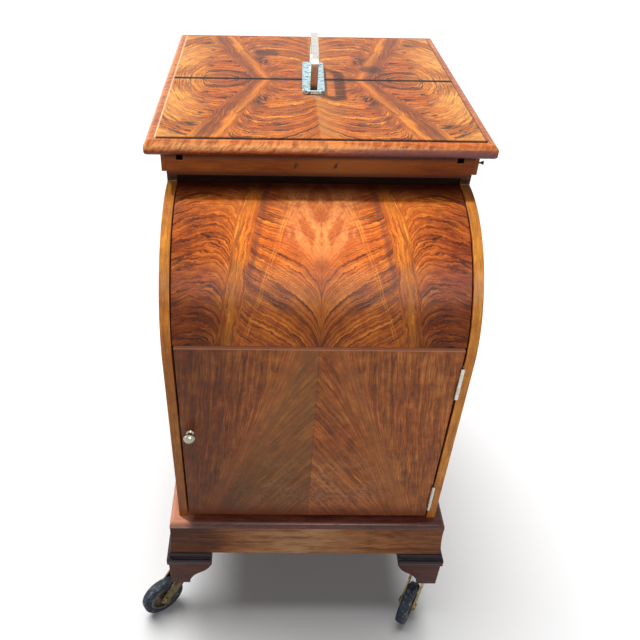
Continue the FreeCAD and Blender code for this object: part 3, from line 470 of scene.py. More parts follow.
class Plan(NodeTree):
    """A shape that follows from named sizes, built as geometry nodes."""

    def __init__(self, name, **inputs):
        self.tree = bpy.data.node_groups.new(name, "GeometryNodeTree")
        self.tree.is_modifier = True
        self.nodes = self.tree.nodes
        self.links = self.tree.links
        self.tree.interface.new_socket("Shape", in_out="OUTPUT", socket_type="NodeSocketGeometry")
        for label, kind in inputs.items():
            self.tree.interface.new_socket(label, in_out="INPUT", socket_type=f"NodeSocket{kind}")
        self.given = self.nodes.new("NodeGroupInput").outputs

    def close(self, shape):
        """Ends the plan with plain faces of one finish."""
        shape = self.step("GeometryNodeRealizeInstances", {0: shape})
        shape = self.step("GeometryNodeSetMaterial", {"Geometry": shape, "Material": self.given["Finish"]})
        self.links.new(shape, self.nodes.new("NodeGroupOutput").inputs[0])

    def made(self, **values):
        """The plain mesh that the plan gives for these sizes, with its faces turned outwards."""
        holder = bpy.data.objects.new(self.tree.name, bpy.data.meshes.new(self.tree.name))
        bpy.context.scene.collection.objects.link(holder)
        way = holder.modifiers.new("way", "NODES")
        way.node_group = self.tree
        for item in self.tree.interface.items_tree:
            if item.in_out == "INPUT":
                way[item.identifier] = values[item.name]
        ready = holder.evaluated_get(bpy.context.evaluated_depsgraph_get())
        mesh = bpy.data.meshes.new_from_object(ready)
        bpy.data.objects.remove(holder)
        work = bmesh.new()
        work.from_mesh(mesh)
        bmesh.ops.recalc_face_normals(work, faces=work.faces)
        work.to_mesh(mesh)
        work.free()
        return mesh


HALF_TURN = 3.14159


def screw_row_plan():
    """A row of slotted screws with low round heads, each turned as its driver left it."""
    plan = Plan("screw_row", Count="Int", First="Vector", Last="Vector", Facing="Vector", Radius="Float",
        Proud="Float", Finish="Material")
    given = plan.given
    radius, proud = given["Radius"], given["Proud"]
    row = plan.step("GeometryNodeMeshLine",
        {"Count": given["Count"], "Start Location": given["First"], "Offset": given["Last"]},
        mode="END_POINTS")
    head = plan.step("GeometryNodeMeshCone", {"Vertices": 20, "Side Segments": 1,
        "Radius Top": plan.times(radius, 0.62), "Radius Bottom": radius, "Depth": proud})
    slot_size = plan.vector(plan.times(radius, 3.0), plan.times(radius, 0.26), proud)
    slot_place = plan.vector(0.0, 0.0, plan.times(proud, 0.75))
    slot = plan.step("GeometryNodeMeshCube", {"Size": slot_size})
    slot = plan.step("GeometryNodeTransform", {"Geometry": slot, "Translation": slot_place})
    head = plan.step("GeometryNodeMeshBoolean", {0: head, 1: slot}, operation="DIFFERENCE")
    turn = plan.step("FunctionNodeAlignRotationToVector", {"Vector": given["Facing"]}, axis="Z")
    heads = plan.step("GeometryNodeInstanceOnPoints", {"Points": row, "Instance": head, "Rotation": turn})
    chance = plan.step("FunctionNodeRandomValue", {"Seed": 4}, out=1)
    twist = plan.vector(0.0, 0.0, plan.times(chance, HALF_TURN))
    heads = plan.step("GeometryNodeRotateInstances", {"Instances": heads, "Rotation": twist})
    plan.close(heads)
    return plan


def screwed(name, body, material, proud, radius, rows):
    """One piece of all the screws of a body, given as rows of count, first, last and facing."""
    work = bmesh.new()
    for count, first, last, facing in rows:
        work.from_mesh(screw_row.made(
            Count=count, First=first, Last=last, Facing=facing, Radius=radius, Proud=proud, Finish=material))
    mesh = bpy.data.meshes.new(name)
    work.to_mesh(mesh)
    work.free()
    mesh.materials.clear()
    mesh.materials.append(material)
    piece = bpy.data.objects.new(name, mesh)
    bpy.context.scene.collection.objects.link(piece)
    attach(piece, body)


screw_row = screw_row_plan()
PIT_DEPTH = 0.00008


def metal_finish(name, bright, dull, roughness, darkening=0.5, scale=60):
    """Worn metal: bright where it is rubbed, dull and rough in patches, with fine pits."""
    metal = Finish(name, bright, metallic=1.0)
    patches = metal.noise(metal.place, scale, 4, 0.7)
    pits = metal.noise(metal.place, 520, 2, 0.6)
    dirt = metal.times(metal.between(patches, 0.46, 0.66), darkening)
    metal.paint(dull, dirt)
    metal.paint(dull, metal.between(pits, 0.62, 0.72), 0.5)
    return metal.surface(metal.add(roughness, metal.times(dirt, 0.35)), metal.times(pits, -1.0), PIT_DEPTH)


screw_brass = metal_finish("screw_brass", (0.52, 0.38, 0.15), (0.16, 0.11, 0.05), 0.34, 0.6, 200)
back_low, back_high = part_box("back_panel")
SCREW_INSET = 0.010
HEAD_LIFT = 0.0004
BACKWARDS = (0.0, 1.0, 0.0)
left = back_low.x + SCREW_INSET
far = back_high.x - SCREW_INSET
foot = back_low.z + SCREW_INSET
head = back_high.z - SCREW_INSET
face = back_high.y + HEAD_LIFT
screwed("back_screws", "cabinet", screw_brass, proud=0.0010, radius=0.0036, rows=[
    *[(6, (x, face, foot), (x, face, head), BACKWARDS) for x in (left, far)],
    *[(3, (left / 2, face, z), (far / 2, face, z), BACKWARDS) for z in (foot, head)]])
fitted("cabinet", "inner_wood", inner_level, BOARD_EDGE, "carcass_floor", "cupboard_shelf")
fitted("cabinet", "inner_wood", inner_upright, BOARD_EDGE, "well_partition")
fitted("cabinet", "carcass_walnut", inner_level, BOARD_EDGE, "door_rail")


# ---- Curved shoulder panel ----
# A quarter-round of bent ply, faced with two matched leaves of crotch walnut that meet on the
# middle line: a fountain of grain in the middle, straight bright bands beside it, and knotty
# waves at the ends.

BEND_MIDDLE = (0.0, -0.155, 0.622)
PANEL_THICK = 0.012
SHEET_RUNS = 63
LEAD_RUNS = 3
CURVE_EDGE = (0.0005, 2, 40)
CURVE_SHADES = ((0.030, 0.010, 0.009), (0.200, 0.044, 0.013), (0.440, 0.112, 0.017), (0.760, 0.270, 0.038))


def curve_finish():
    """Crotch walnut, looked up by the climb along the bend and by the way out from the seam."""
    low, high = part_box("curved_front")
    bend_y, bend_z = BEND_MIDDLE[1:]
    outer = high.z - bend_z
    foot_angle = math.asin((low.z - bend_z) / outer)
    wood = Finish("curve_veneer", specular_ior_level=0.13, coat_weight=0.03, coat_roughness=0.14)
    angle = wood.calc("ARCTAN2", wood.less(wood.z, bend_z), wood.less(bend_y, wood.y))
    climb = wood.times(wood.less(angle, foot_angle), outer)
    out = wood.calc("ABSOLUTE", wood.x)
    spot = wood.vector(out, climb)
    sway = wood.swing(wood.noise(spot, 22, 2), 0.010)
    bent = wood.add(out, sway)

    # Lines sweep from the golden band outwards and droop to the edge of the leaf.
    past = wood.less(bent, wood.less(0.1424, wood.times(climb, 0.157)))
    sweep = wood.times(wood.calc("EXPONENT", wood.times(past, -100)), 0.022)
    droop = wood.times(wood.calc("POWER", wood.less(past, 0.030), 2.0), 6.0)
    outside = wood.add(climb, sweep, droop)

    # Inside the band they rise from the seam like the barbs of a feather.
    short = wood.less(wood.less(0.1192, wood.times(climb, 0.1485)), bent)
    lift = wood.calc("MAXIMUM", wood.less(0.46, wood.times(climb, 1.5)), 0.14)
    barb = wood.times(wood.calc("SQRT", out), lift)
    rise = wood.times(wood.calc("EXPONENT", wood.times(short, -85)), 0.013)
    inside = wood.less(wood.less(climb, barb), rise)

    middle = wood.less(bent, wood.less(0.131, wood.times(climb, 0.153)))
    across = wood.blend(wood.between(middle, -0.0145, -0.0105), inside, wood.times(middle, 1.3))
    across = wood.blend(wood.between(middle, 0.0100, 0.0135), across, outside)
    walnut(wood, spot, across, wood.less(climb, out), CURVE_SHADES, 21.0, 0.40, 0.80, 1.10, 0.34)
    flame = wood.times(wood.between(wood.less(climb, wood.times(out, 0.5)), 0.095, 0.150),
        wood.between(out, 0.075, 0.035))
    fire = wood.streaks(out, 60, climb, 34, 2.0, 4, 0.7)
    flame_colour = wood.mix(wood.between(fire, 0.40, 0.62), (0.290, 0.085, 0.028), (0.640, 0.260, 0.085))
    wood.paint(flame_colour, flame, 0.62)
    haze = wood.streaks(middle, 160, climb, 9, 6.0)
    gold = wood.times(wood.ridge(middle, 0.0, 0.0135), wood.between(haze, 0.25, 0.60))
    wood.paint((0.640, 0.240, 0.030), gold, 0.50)
    streak = wood.times(wood.ridge(middle, -0.0190, 0.0075), wood.between(climb, 0.03, 0.12))
    wood.paint((0.090, 0.034, 0.022), streak, wood.between(haze, 0.2, 0.5), 0.60)
    slant = wood.less(bent, wood.less(0.1072, wood.times(climb, 0.315)))
    slant_fade = wood.between(climb, 0.245, 0.215)
    broken = wood.between(wood.streaks(out, 90, climb, 34, 8.0, 3), 0.36, 0.56)
    for place, half, share, shade in (
            (-0.0050, 0.0022, 0.4125, 1), (-0.0020, 0.0014, 0.45, 3), (0.0016, 0.0014, 0.45, 3),
            (0.0060, 0.0035, 0.375, 1)):
        wood.paint(CURVE_SHADES[shade], wood.ridge(slant, place, half), slant_fade, share, broken)
    shade = wood.between(past, 0.004, 0.040)
    wood.stain((0.72, 0.52, 0.50), shade, 0.46)
    lit = wood.times(wood.ridge(climb, 0.150, 0.085), wood.between(out, 0.205, 0.030), 0.85)
    wood.stain((2.05, 1.85, 1.95), lit)
    # Painted shade: the top of the curve darkens to near-black under the neck and the top's overhang.
    shade_under_neck = wood.between(climb, 0.206, 0.254)
    wood.stain((0.090, 0.050, 0.050), shade_under_neck)
    corner = wood.times(wood.between(out, 0.095, 0.165), wood.between(climb, 0.100, 0.030))
    heel = wood.times(wood.between(out, 0.075, 0.010), wood.between(climb, 0.095, 0.010))
    gloom = wood.add(wood.times(corner, 0.95), wood.times(heel, 0.45))
    wood.stain((0.45, 0.42, 0.42), gloom)
    # Painted reflection: a purple sheen of the sky on the right of the curve.
    sky_sheen = wood.times(wood.between(wood.x, 0.130, 0.180), wood.ridge(climb, 0.110, 0.080))
    wood.stain((0.70, 0.55, 1.30), sky_sheen, 0.55)
    seam = wood.ridge(out, 0.0, 0.0006)
    wood.paint(CURVE_SHADES[0], seam, 0.4)
    return wood.grained(VENEER_DEPTH)


def curved_sheet_plan():
    """A level lead, then a quarter turn down to a foot that is cut level."""
    plan = Plan("curved_sheet", Width="Float", Thickness="Float", Bend="Float", Middle="Vector", Foot="Float",
        Lead="Float", Finish="Material")
    given = plan.given
    block = plan.step("GeometryNodeMeshCube",
        {"Size": (1.0, 1.0, 1.0), "Vertices X": 2, "Vertices Y": SHEET_RUNS + 1, "Vertices Z": 2})
    spot_x, spot_y, spot_z = plan.parts(plan.step("GeometryNodeInputPosition", {}))
    middle_y, middle_z = plan.parts(given["Middle"])[1:]
    run = plan.add(spot_y, 0.5)
    depth = plan.less(0.5, spot_z)
    radius = plan.less(given["Bend"], plan.times(given["Thickness"], depth))
    foot_turn = plan.calc("ARCSINE", plan.calc("DIVIDE", plan.less(given["Foot"], middle_z), radius))
    lead_share = LEAD_RUNS / SHEET_RUNS
    level_part = plan.calc("MINIMUM", plan.times(run, 1 / lead_share), 1.0)
    bent_part = plan.calc("MAXIMUM", plan.times(plan.less(run, lead_share), 1 / (1 - lead_share)), 0.0)
    turn = plan.times(bent_part, plan.less(math.pi / 2, foot_turn))
    back = plan.times(given["Lead"], plan.less(1.0, level_part))
    y = plan.less(plan.add(middle_y, back), plan.times(radius, plan.calc("SINE", turn)))
    z = plan.add(middle_z, plan.times(radius, plan.calc("COSINE", turn)))
    place = plan.vector(plan.times(spot_x, given["Width"]), y, z)
    plan.close(plan.step("GeometryNodeSetPosition", {"Geometry": block, "Position": place}))
    return plan


curve_low, curve_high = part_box("curved_front")
curve_veneer = curve_finish()
curved_sheet = curved_sheet_plan().made(
    Width=curve_high.x - curve_low.x, Thickness=PANEL_THICK, Bend=curve_high.z - BEND_MIDDLE[2],
    Middle=BEND_MIDDLE, Foot=curve_low.z, Lead=curve_high.y - BEND_MIDDLE[1], Finish=curve_veneer)
curved_panel = softened("curved_panel", curved_sheet, *CURVE_EDGE)
dress(curved_panel, "cabinet", "curved_front", "curve_veneer", curve_veneer)


# ---- Neck of the well ----
# Plain straight-grained rails that carry the moulded top, with a cleat along the outside of each
# side.  The front rail has two small notches, and a strip painted near-black as shade closes the curve below
# it.

RAIL_EDGE = (0.0006,)
NECK_SHADES = ((0.070, 0.015, 0.002), (0.130, 0.028, 0.003), (0.185, 0.041, 0.004), (0.250, 0.064, 0.007))


def neck_finish():
    """Straight walnut with two small bruises, painted shade along its top and bottom edges and painted
    near-black shade in its notches.
    """
    wood = Finish("neck_along_x", specular_ior_level=0.17)
    sawn(wood, NECK_SHADES, "x", (0.30, 0.40), 31.0, 0.6, 0.3, 0.4, 0.36)
    glow = wood.times(wood.between(wood.x, -0.06, 0.02), wood.between(wood.x, 0.16, 0.06), 0.5)
    wood.paint((0.300, 0.090, 0.018), glow)
    ragged = wood.swing(wood.noise(wood.place, 260, 2), 0.012)
    for x, z, lean in ((-0.0357, 0.8330, 0.35), (0.0229, 0.8340, 0.60)):
        off_x = wood.add(wood.less(wood.x, x), wood.times(wood.less(wood.z, z), -lean), ragged)
        bruise = wood.reach(off_x, wood.times(wood.less(wood.z, z), 0.55))
        wood.paint((0.030, 0.010, 0.006), wood.between(bruise, 0.0036, 0.0016), 0.85)
    # Painted shade along the rails' lower edge, over the curve.
    wood.paint((0.040, 0.012, 0.005), wood.between(wood.z, 0.827, 0.818), 0.80)
    # Painted shade under the moulding along the rails' top edge.
    wood.paint((0.030, 0.010, 0.004), wood.between(wood.z, 0.8405, 0.8470), 0.80)
    # Painted shade: the insides of the two notches are painted near-black.
    hollow = wood.times(wood.between(wood.y, -0.1548, -0.1540), wood.between(wood.y, -0.130, -0.139),
        wood.between(wood.z, 0.8355, 0.8365))
    wood.paint((0.004, 0.002, 0.002), hollow, 0.97)
    return wood.grained(SAWN_DEPTH)


neck_along_x = neck_finish()
neck_along_y = board_walnut("neck_along_y", NECK_SHADES, "y", (0.60, 0.40), 32.0, 0.6, 0.25, 0.4, 0.36)
fitted("cabinet", "carcass_walnut", neck_along_x, RAIL_EDGE, "well_front_rail", "well_rear_rail")
STRIP_SHADES = ((0.004, 0.001, 0.001), (0.006, 0.002, 0.001), (0.009, 0.003, 0.002), (0.014, 0.005, 0.003))
# The strip below the front rail is painted near-black, as shade.
shade_strip = board_walnut("shade_strip", STRIP_SHADES, "x", (0.30, 0.40), 33.0, specular_ior_level=0.05)
fitted("cabinet", "carcass_walnut", shade_strip, RAIL_EDGE, "shoulder_strip")
fitted("cabinet", "carcass_walnut", neck_along_y, BOARD_EDGE, "well_side_rails", "side_cleats")


# ---- Top mouldings ----
# Four lengths of solid walnut with a full round nose, mitred at the corners, set on the rails and
# polished.  Each has a ledge inside for the flaps.

MOULDED_EDGE = (0.0006, 2, 35)
MOULDING_SHADES = ((0.070, 0.014, 0.009), (0.250, 0.050, 0.014), (0.450, 0.108, 0.022), (0.720, 0.230, 0.048))


def moulding_finish(name, grain, heart, seed):
    """Rippled walnut, with a painted highlight along the top of its nose, painted purple shade under it and
    over its right part.
    """
    wood = Finish(name, **POLISH)
    along = wood.x if grain == "x" else wood.y
    sawn(wood, MOULDING_SHADES, grain, heart, seed, 0.8, 0.5, 0.8, 0.30)
    low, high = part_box("top_moulding_front")
    slanted = wood.less(along, wood.times(wood.z, 0.8))
    ripple = wood.streaks(slanted, 170, wood.z, 110, seed, 3, 0.6)
    wood.paint(MOULDING_SHADES[3], wood.between(ripple, 0.46, 0.62), 0.45)
    nose = (low.z + high.z) / 2
    # Painted highlight of the sun along the top of the nose, strongest on the left.
    nose_highlight = wood.times(wood.ridge(wood.z, nose + 0.0050, 0.0075), wood.between(wood.x, 0.34, -0.10))
    wood.paint((0.960, 0.440, 0.160), nose_highlight, wood.between(ripple, 0.26, 0.60), 0.80)
    shaded = wood.between(wood.z, nose + 0.0015, nose - 0.0045)
    wood.stain((0.34, 0.24, 0.32), shaded, 0.92)
    # Painted purple shade over the right part of the nose.
    shaded_right_end = wood.times(wood.between(wood.x, -0.04, 0.10),
        wood.between(wood.z, nose + 0.0075, nose + 0.0015))
    wood.paint((0.150, 0.062, 0.070), shaded_right_end, 0.78)
    return wood.grained(SAWN_DEPTH)


moulding_x = moulding_finish("moulding_along_x", "x", (0.10, 0.70), 41.0)
moulding_y = moulding_finish("moulding_along_y", "y", (0.50, 0.70), 42.0)
fitted("cabinet", "moulding_walnut", moulding_x, MOULDED_EDGE, "top_moulding_front", "top_moulding_rear")
fitted("cabinet", "moulding_walnut", moulding_y, MOULDED_EDGE, "top_mouldings_side")


# ---- Flaps ----
# Two boards that meet over the handle's stem.  Four matched leaves of figured walnut face them,
# mirrored about the middle line and about the joint, and their undersides are plain walnut.

FLAP_EDGE = (0.0004, 2, 35)
TOP_SHADES = ((0.036, 0.011, 0.008), (0.230, 0.050, 0.013), (0.540, 0.140, 0.018), (0.860, 0.350, 0.045))


def top_finish():
    """Figured walnut, looked up by the ways out from the middle line and from the joint."""
    front_low, front_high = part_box("front_flap")
    rear_low, rear_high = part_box("rear_flap")
    joint = (front_high.y + rear_low.y) / 2
    wood = Finish("top_veneer", specular_ior_level=0.12, coat_weight=0.03, coat_roughness=0.12)
    out = wood.calc("ABSOLUTE", wood.x)
    off = wood.calc("ABSOLUTE", wood.less(wood.y, joint))
    spot = wood.vector(out, off, 0.4)
    sway = wood.swing(wood.noise(spot, 20, 2), 0.012)
    bent = wood.add(out, sway)

    # Smiles round the handle, which sweep back along the light diagonal band.
    short = wood.less(wood.add(0.070, wood.times(off, 0.30)), bent)
    spread = wood.less(1.0, wood.calc("EXPONENT", wood.times(out, -45)))
    smile = wood.times(off, wood.less(1.0, wood.times(spread, 0.22)))
    inside = wood.add(smile, wood.times(wood.calc("EXPONENT", wood.times(short, -70)), 0.030))

    # Ovals in the outer corners, whose lines rise off the dark side of the band.
    wide = wood.less(out, 0.165)
    stretch = wood.blend(wood.between(wide, -0.01, 0.01), 0.6, 1.9)
    outside = wood.reach(wood.times(wide, stretch), off)

    band = wood.less(bent, wood.add(0.078, wood.times(off, 0.305)))
    dark_edge = wood.add(0.0165, wood.times(off, 0.05))
    across = wood.blend(wood.between(band, -0.011, -0.007), inside, wood.times(band, 1.4))
    across = wood.blend(wood.between(wood.less(band, dark_edge), 0.000, 0.012), across, outside)
    walnut(wood, spot, across, wood.less(off, out), TOP_SHADES, 51.0, 0.56, 1.10, 1.05, 0.36)
    haze = wood.streaks(band, 150, off, 9, 3.0)
    light = wood.times(wood.ridge(band, 0.000, 0.0090), wood.between(haze, 0.2, 0.55))
    wood.paint((0.800, 0.290, 0.038), light, 0.48)
    dark = wood.times(wood.between(band, 0.006, 0.012),
        wood.between(wood.less(band, dark_edge), 0.008, 0.000))
    wood.paint((0.120, 0.036, 0.016), dark, wood.between(haze, 0.15, 0.6), 0.60)
    bay = wood.times(wood.ridge(short, 0.014, 0.018), wood.between(wood.noise(spot, 30, 3), 0.40, 0.60))
    wood.paint((0.120, 0.038, 0.018), bay, 0.60)
    ragged = wood.swing(wood.noise(wood.place, 70, 3, 0.7), 0.06)
    for knot_x, knot_y in ((0.106, 0.145), (-0.078, 0.232)):
        knot = wood.reach(wood.less(wood.x, knot_x), wood.times(wood.less(wood.y, knot_y), 1.3))
        knot = wood.between(wood.add(knot, ragged), 0.034, 0.012)
        wood.paint((0.040, 0.018, 0.014), knot, 0.80)
    golden = wood.times(wood.between(out, 0.150, 0.232), wood.between(wood.noise(spot, 9, 2), 0.3, 0.6))
    wood.stain((1.50, 2.05, 2.60), golden)
    wood.paint((0.940, 0.480, 0.130), golden, 0.28)
    seam = wood.ridge(wood.x, 0.0, 0.0006)
    wood.paint(TOP_SHADES[0], seam, 0.4)
    leaf = wood.times(wood.between(wood.x, -0.002, 0.001), wood.between(wood.x, 0.05, 0.001))
    wood.paint((0.900, 0.460, 0.120), leaf, 0.18)
    # Dark lines along the front and back edges of both flaps: painted shade of the gaps beside them, with
    # some dirt in the joints.
    middle = (rear_high.y - rear_low.y) / 2
    from_middle = wood.calc("ABSOLUTE", wood.less(off, middle + rear_low.y - joint))
    darkening = wood.between(from_middle, middle - 0.0052, middle - 0.0028)
    wood.paint((0.016, 0.009, 0.007), darkening, 0.92)
    # Painted highlight along the flaps' left edge, which faces the sun.
    lit_edge_highlight = wood.between(wood.x, front_low.x + 0.0030, front_low.x + 0.0012)
    wood.paint((0.930, 0.600, 0.400), lit_edge_highlight, 0.75)
    # Painted shade along the flaps' right edge, away from the sun.
    shaded_rim = wood.between(wood.x, front_high.x - 0.0034, front_high.x - 0.0014)
    wood.paint((0.050, 0.024, 0.012), shaded_rim, 0.85)
    return wood.grained(VENEER_DEPTH)


top_veneer = top_finish()
flap_under = board_walnut("flap_under", INNER_SHADES, "x", (0.10, 0.60), 53.0, 0.9, 0.4, 0.6, 0.38)
for node in ("front_flap", "rear_flap"):
    flap = eased(node, *FLAP_EDGE)
    dress(flap, node, node, "top_veneer", top_veneer, flap_under)
    second_finish(flap, lambda normal: normal.z < -0.9)


# ---- Door ----
# A flat ply door faced with two leaves of calmer walnut that meet on the middle line.  Its foot is
# dusty and darkened with painted shade, its top edge has a painted highlight line, and its edges are lipped.

DOOR_SHADES = ((0.048, 0.013, 0.006), (0.145, 0.039, 0.011), (0.315, 0.096, 0.022), (0.580, 0.215, 0.056))


def door_finish():
    """Calm walnut with a wedge down its seam, stained along the wedge's edge, dusty at its foot, with painted
    shade along its foot and a painted highlight line along its top edge.
    """
    low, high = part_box("door_panel")
    wood = Finish("door_veneer", specular_ior_level=0.17, coat_weight=0.06, coat_roughness=0.25)
    out = wood.calc("ABSOLUTE", wood.x)
    fall = wood.less(high.z, wood.z)
    spot = wood.vector(out, wood.z, 0.8)

    # Straight grain at the sides bends in towards the seam along a slanting edge.
    edge = wood.add(0.022, wood.times(fall, 0.36))
    from_edge = wood.less(out, edge)
    sloped = wood.less(wood.times(out, 0.75), wood.times(fall, 0.52))
    straight = wood.less(out, wood.times(fall, 0.10))
    across = wood.blend(wood.between(from_edge, -0.030, 0.030), sloped, straight)
    walnut(wood, spot, across, wood.z, DOOR_SHADES, 61.0, 0.50, 0.45, 0.30, 0.40)
    wedge = wood.between(from_edge, 0.006, -0.006)
    left = wood.between(wood.x, 0.001, -0.001)
    wood.paint((0.170, 0.090, 0.030), wedge, left, 0.42)
    glow = wood.ridge(from_edge, 0.010, 0.014)
    wood.paint((0.300, 0.115, 0.040), glow, 0.35)
    stain = wood.times(wood.ridge(from_edge, 0.034, 0.012), wood.between(wood.noise(spot, 16, 2), 0.4, 0.6))
    wood.paint(DOOR_SHADES[0], stain, 0.5)
    speckle = wood.noise(wood.place, 150, 4, 0.8)
    drift = wood.noise(wood.place, 16, 2)
    dusty = wood.times(wood.ridge(wood.z, low.z + 0.075, 0.110), wood.between(drift, 0.34, 0.54),
        wood.between(out, 0.165, 0.075))
    wood.paint((0.380, 0.200, 0.110), dusty, wood.between(speckle, 0.40, 0.62), 0.50)
    wood.paint(DOOR_SHADES[1], dusty, wood.between(speckle, 0.48, 0.36), 0.55)
    low_wedge = wood.times(wedge, left, wood.between(wood.z, low.z + 0.22, low.z + 0.08), 0.60)
    wood.stain((0.52, 0.50, 0.48), low_wedge)
    far_left = wood.between(wood.x, -0.05, -0.18)
    wood.stain((0.42, 0.36, 0.36), far_left, 0.95)
    # Painted shade along the foot of the door.
    foot = wood.between(wood.z, low.z + 0.034, low.z + 0.006)
    wood.paint((0.105, 0.022, 0.008), foot, 0.70)
    seam = wood.ridge(wood.x, 0.0, 0.0008)
    wood.paint(DOOR_SHADES[0], seam, 0.6)
    # Painted highlight line along the door's top edge.
    edge_highlight_line = wood.between(wood.z, high.z - 0.0022, high.z - 0.0008)
    wood.paint((0.460, 0.200, 0.120), edge_highlight_line, 0.7)
    return wood.grained(VENEER_DEPTH)


DOOR_EDGE = (0.0009, 3)
fitted("door", "door_veneer", door_finish(), DOOR_EDGE, "door_panel")


# ---- Base ----
# A board with a rounded edge on four mitred rails with hollow faces.  All are of dark red walnut, with
# a painted patch of sunlight on the board's left end and a painted highlight along the middle of the front
# and rear rails.

BASE_SHADES = ((0.018, 0.005, 0.004), (0.050, 0.012, 0.008), (0.090, 0.022, 0.013), (0.160, 0.046, 0.026))
RAIL_SHADES = ((0.042, 0.012, 0.006), (0.140, 0.045, 0.014), (0.265, 0.098, 0.030), (0.400, 0.175, 0.068))


def base_board_finish():
    """Dark, with a painted patch of sunlight on its left end."""
    wood = Finish("base_board_walnut", specular_ior_level=0.25, coat_weight=0.12, coat_roughness=0.1)
    sawn(wood, BASE_SHADES, "x", (0.20, 0.60), 71.0, 0.6, 0.2, 0.5, 0.26)
    # Painted sunlight on the left end of the board.
    sunlit_end = wood.add(wood.x, wood.swing(wood.noise(wood.place, 60, 2), 0.02))
    wood.paint((0.480, 0.210, 0.130), wood.between(sunlit_end, -0.190, -0.212),
        wood.between(wood.y, -0.10, -0.30), 0.65)
    return wood.grained(SAWN_DEPTH)


base_dark = base_board_finish()


def rail_finish():
    """Dark walnut with a painted highlight along its middle, and darkest at its left end."""
    wood = Finish("base_rail_along_x", specular_ior_level=0.10, coat_weight=0.02, coat_roughness=0.15)
    sawn(wood, RAIL_SHADES, "x", (0.20, 0.60), 72.0, 0.5, 0.5, 0.5, 0.32)
    # Painted highlight: a pale band along the middle of the rail.
    sheen_breakup = wood.streaks(wood.x, 18, wood.z, 90, 4.0, 3, 0.6)
    sheen_band = wood.times(wood.ridge(wood.x, -0.015, 0.150), wood.between(sheen_breakup, 0.30, 0.60))
    wood.paint((0.430, 0.255, 0.132), sheen_band, 0.66)
    dark_end = wood.between(wood.x, -0.110, -0.185)
    dark_end = wood.add(dark_end, wood.times(wood.between(wood.x, 0.100, 0.200), 0.45))
    wood.stain((0.28, 0.22, 0.20), dark_end, 0.85)
    return wood.grained(SAWN_DEPTH)


rail_x = rail_finish()
rail_y = board_walnut("base_rail_along_y", RAIL_SHADES, "y", (0.70, 0.60), 73.0, 0.8, 0.3, 0.6, 0.32,
    specular_ior_level=0.17, coat_weight=0.06, coat_roughness=0.15)
fitted("cabinet", "base_walnut", base_dark, MOULDED_EDGE, "base_board")
fitted("cabinet", "base_walnut", rail_x, BOARD_EDGE, "base_front_rail", "base_rear_rail")
fitted("cabinet", "base_walnut", rail_y, BOARD_EDGE, "base_side_rails")


# ---- Feet ----
# Four bracket feet of near-black walnut with a stepped cap.  Each stands under a corner of the
# base, and is bored for a caster's socket.

CAP_DEEP = 0.022
FOOT_EDGE = (0.0010, 3, 35)
FOOT_SHADES = ((0.014, 0.004, 0.003), (0.034, 0.009, 0.005), (0.070, 0.019, 0.011), (0.120, 0.036, 0.022))


def foot_finish():
    """A bracket of dark red walnut under a cap that is stained nearly black, with a painted highlight line
    where the cap meets the bracket.
    """
    cap_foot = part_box("foot_front_left")[1].z - CAP_DEEP
    wood = Finish("foot_walnut", specular_ior_level=0.14, coat_weight=0.05, coat_roughness=0.12)
    sawn(wood, FOOT_SHADES, "x", (0.20, 0.60), 75.0, 0.7, 0.2, 0.5, 0.38)
    cap = wood.between(wood.z, cap_foot - 0.0004, cap_foot + 0.0004)
    wood.paint((0.007, 0.007, 0.010), cap, 0.88)
    # Painted highlight line along the foot of the cap.
    edge_highlight_line = wood.ridge(wood.z, cap_foot, 0.0022)
    wood.paint((0.110, 0.090, 0.095), edge_highlight_line, 0.6)
    return wood.grained(SAWN_DEPTH)


CORNERS = ("front_left", "front_right", "rear_left", "rear_right")
fitted("cabinet", "base_walnut", foot_finish(), FOOT_EDGE, *[f"foot_{corner}" for corner in CORNERS])


# ---- Casters ----
# Four swivelling casters, which turn in brass sockets in the feet: brass horns with riveted
# axles, japanned iron hubs and black rubber tyres, all much worn.

SCUFF_DEPTH = 0.0005
HUB_EDGE = (0.0005, 2, 35)
TYRE_EDGE = (0.0004, 1, 50)


def rubber_finish():
    """Black rubber, scuffed pale where it runs over grit."""
    rubber = Finish("tyre_rubber", specular_ior_level=0.3)
    scuffs = rubber.noise(rubber.place, 140, 4, 0.75)
    grit = rubber.noise(rubber.place, 620, 2, 0.6)
    rubber.colour = rubber.ramp(scuffs,
        [(0.38, (0.004, 0.007, 0.014)), (0.54, (0.012, 0.019, 0.033)), (0.68, (0.150, 0.172, 0.205))])
    height = rubber.add(rubber.times(scuffs, 1.6), grit)
    return rubber.surface(rubber.blend(scuffs, 0.55, 0.8), height, SCUFF_DEPTH)


old_brass = metal_finish("old_brass", (0.24, 0.185, 0.088), (0.052, 0.043, 0.023), 0.36, 0.92, 60)
japanned = Finish("japanned_iron", coat_weight=0.2)
japanned.colour = japanned.ramp(japanned.noise(japanned.place, 90, 3),
    [(0.4, (0.020, 0.018, 0.016)), (0.7, (0.10, 0.075, 0.045))])
japanned_iron = japanned.surface(0.42, japanned.noise(japanned.place, 300, 2))
tyre_rubber = rubber_finish()
for corner in CORNERS:
    fitted(f"caster_{corner}", "brass", old_brass, MOULDED_EDGE, f"caster_fork_{corner}")
    fitted(f"wheel_{corner}", "hub_iron", japanned_iron, HUB_EDGE, f"caster_hub_{corner}")
    fitted(f"wheel_{corner}", "tyre_rubber", tyre_rubber, TYRE_EDGE, f"caster_tyre_{corner}")
fitted("cabinet", "brass", old_brass, FLAP_EDGE, "caster_sockets")


# ---- Handle ----
# A nickel-plated plate over the joint of the flaps and a flat strap bent into a loop.  The
# plating is pitted, and its bluish colour is a painted reflection of the sky.

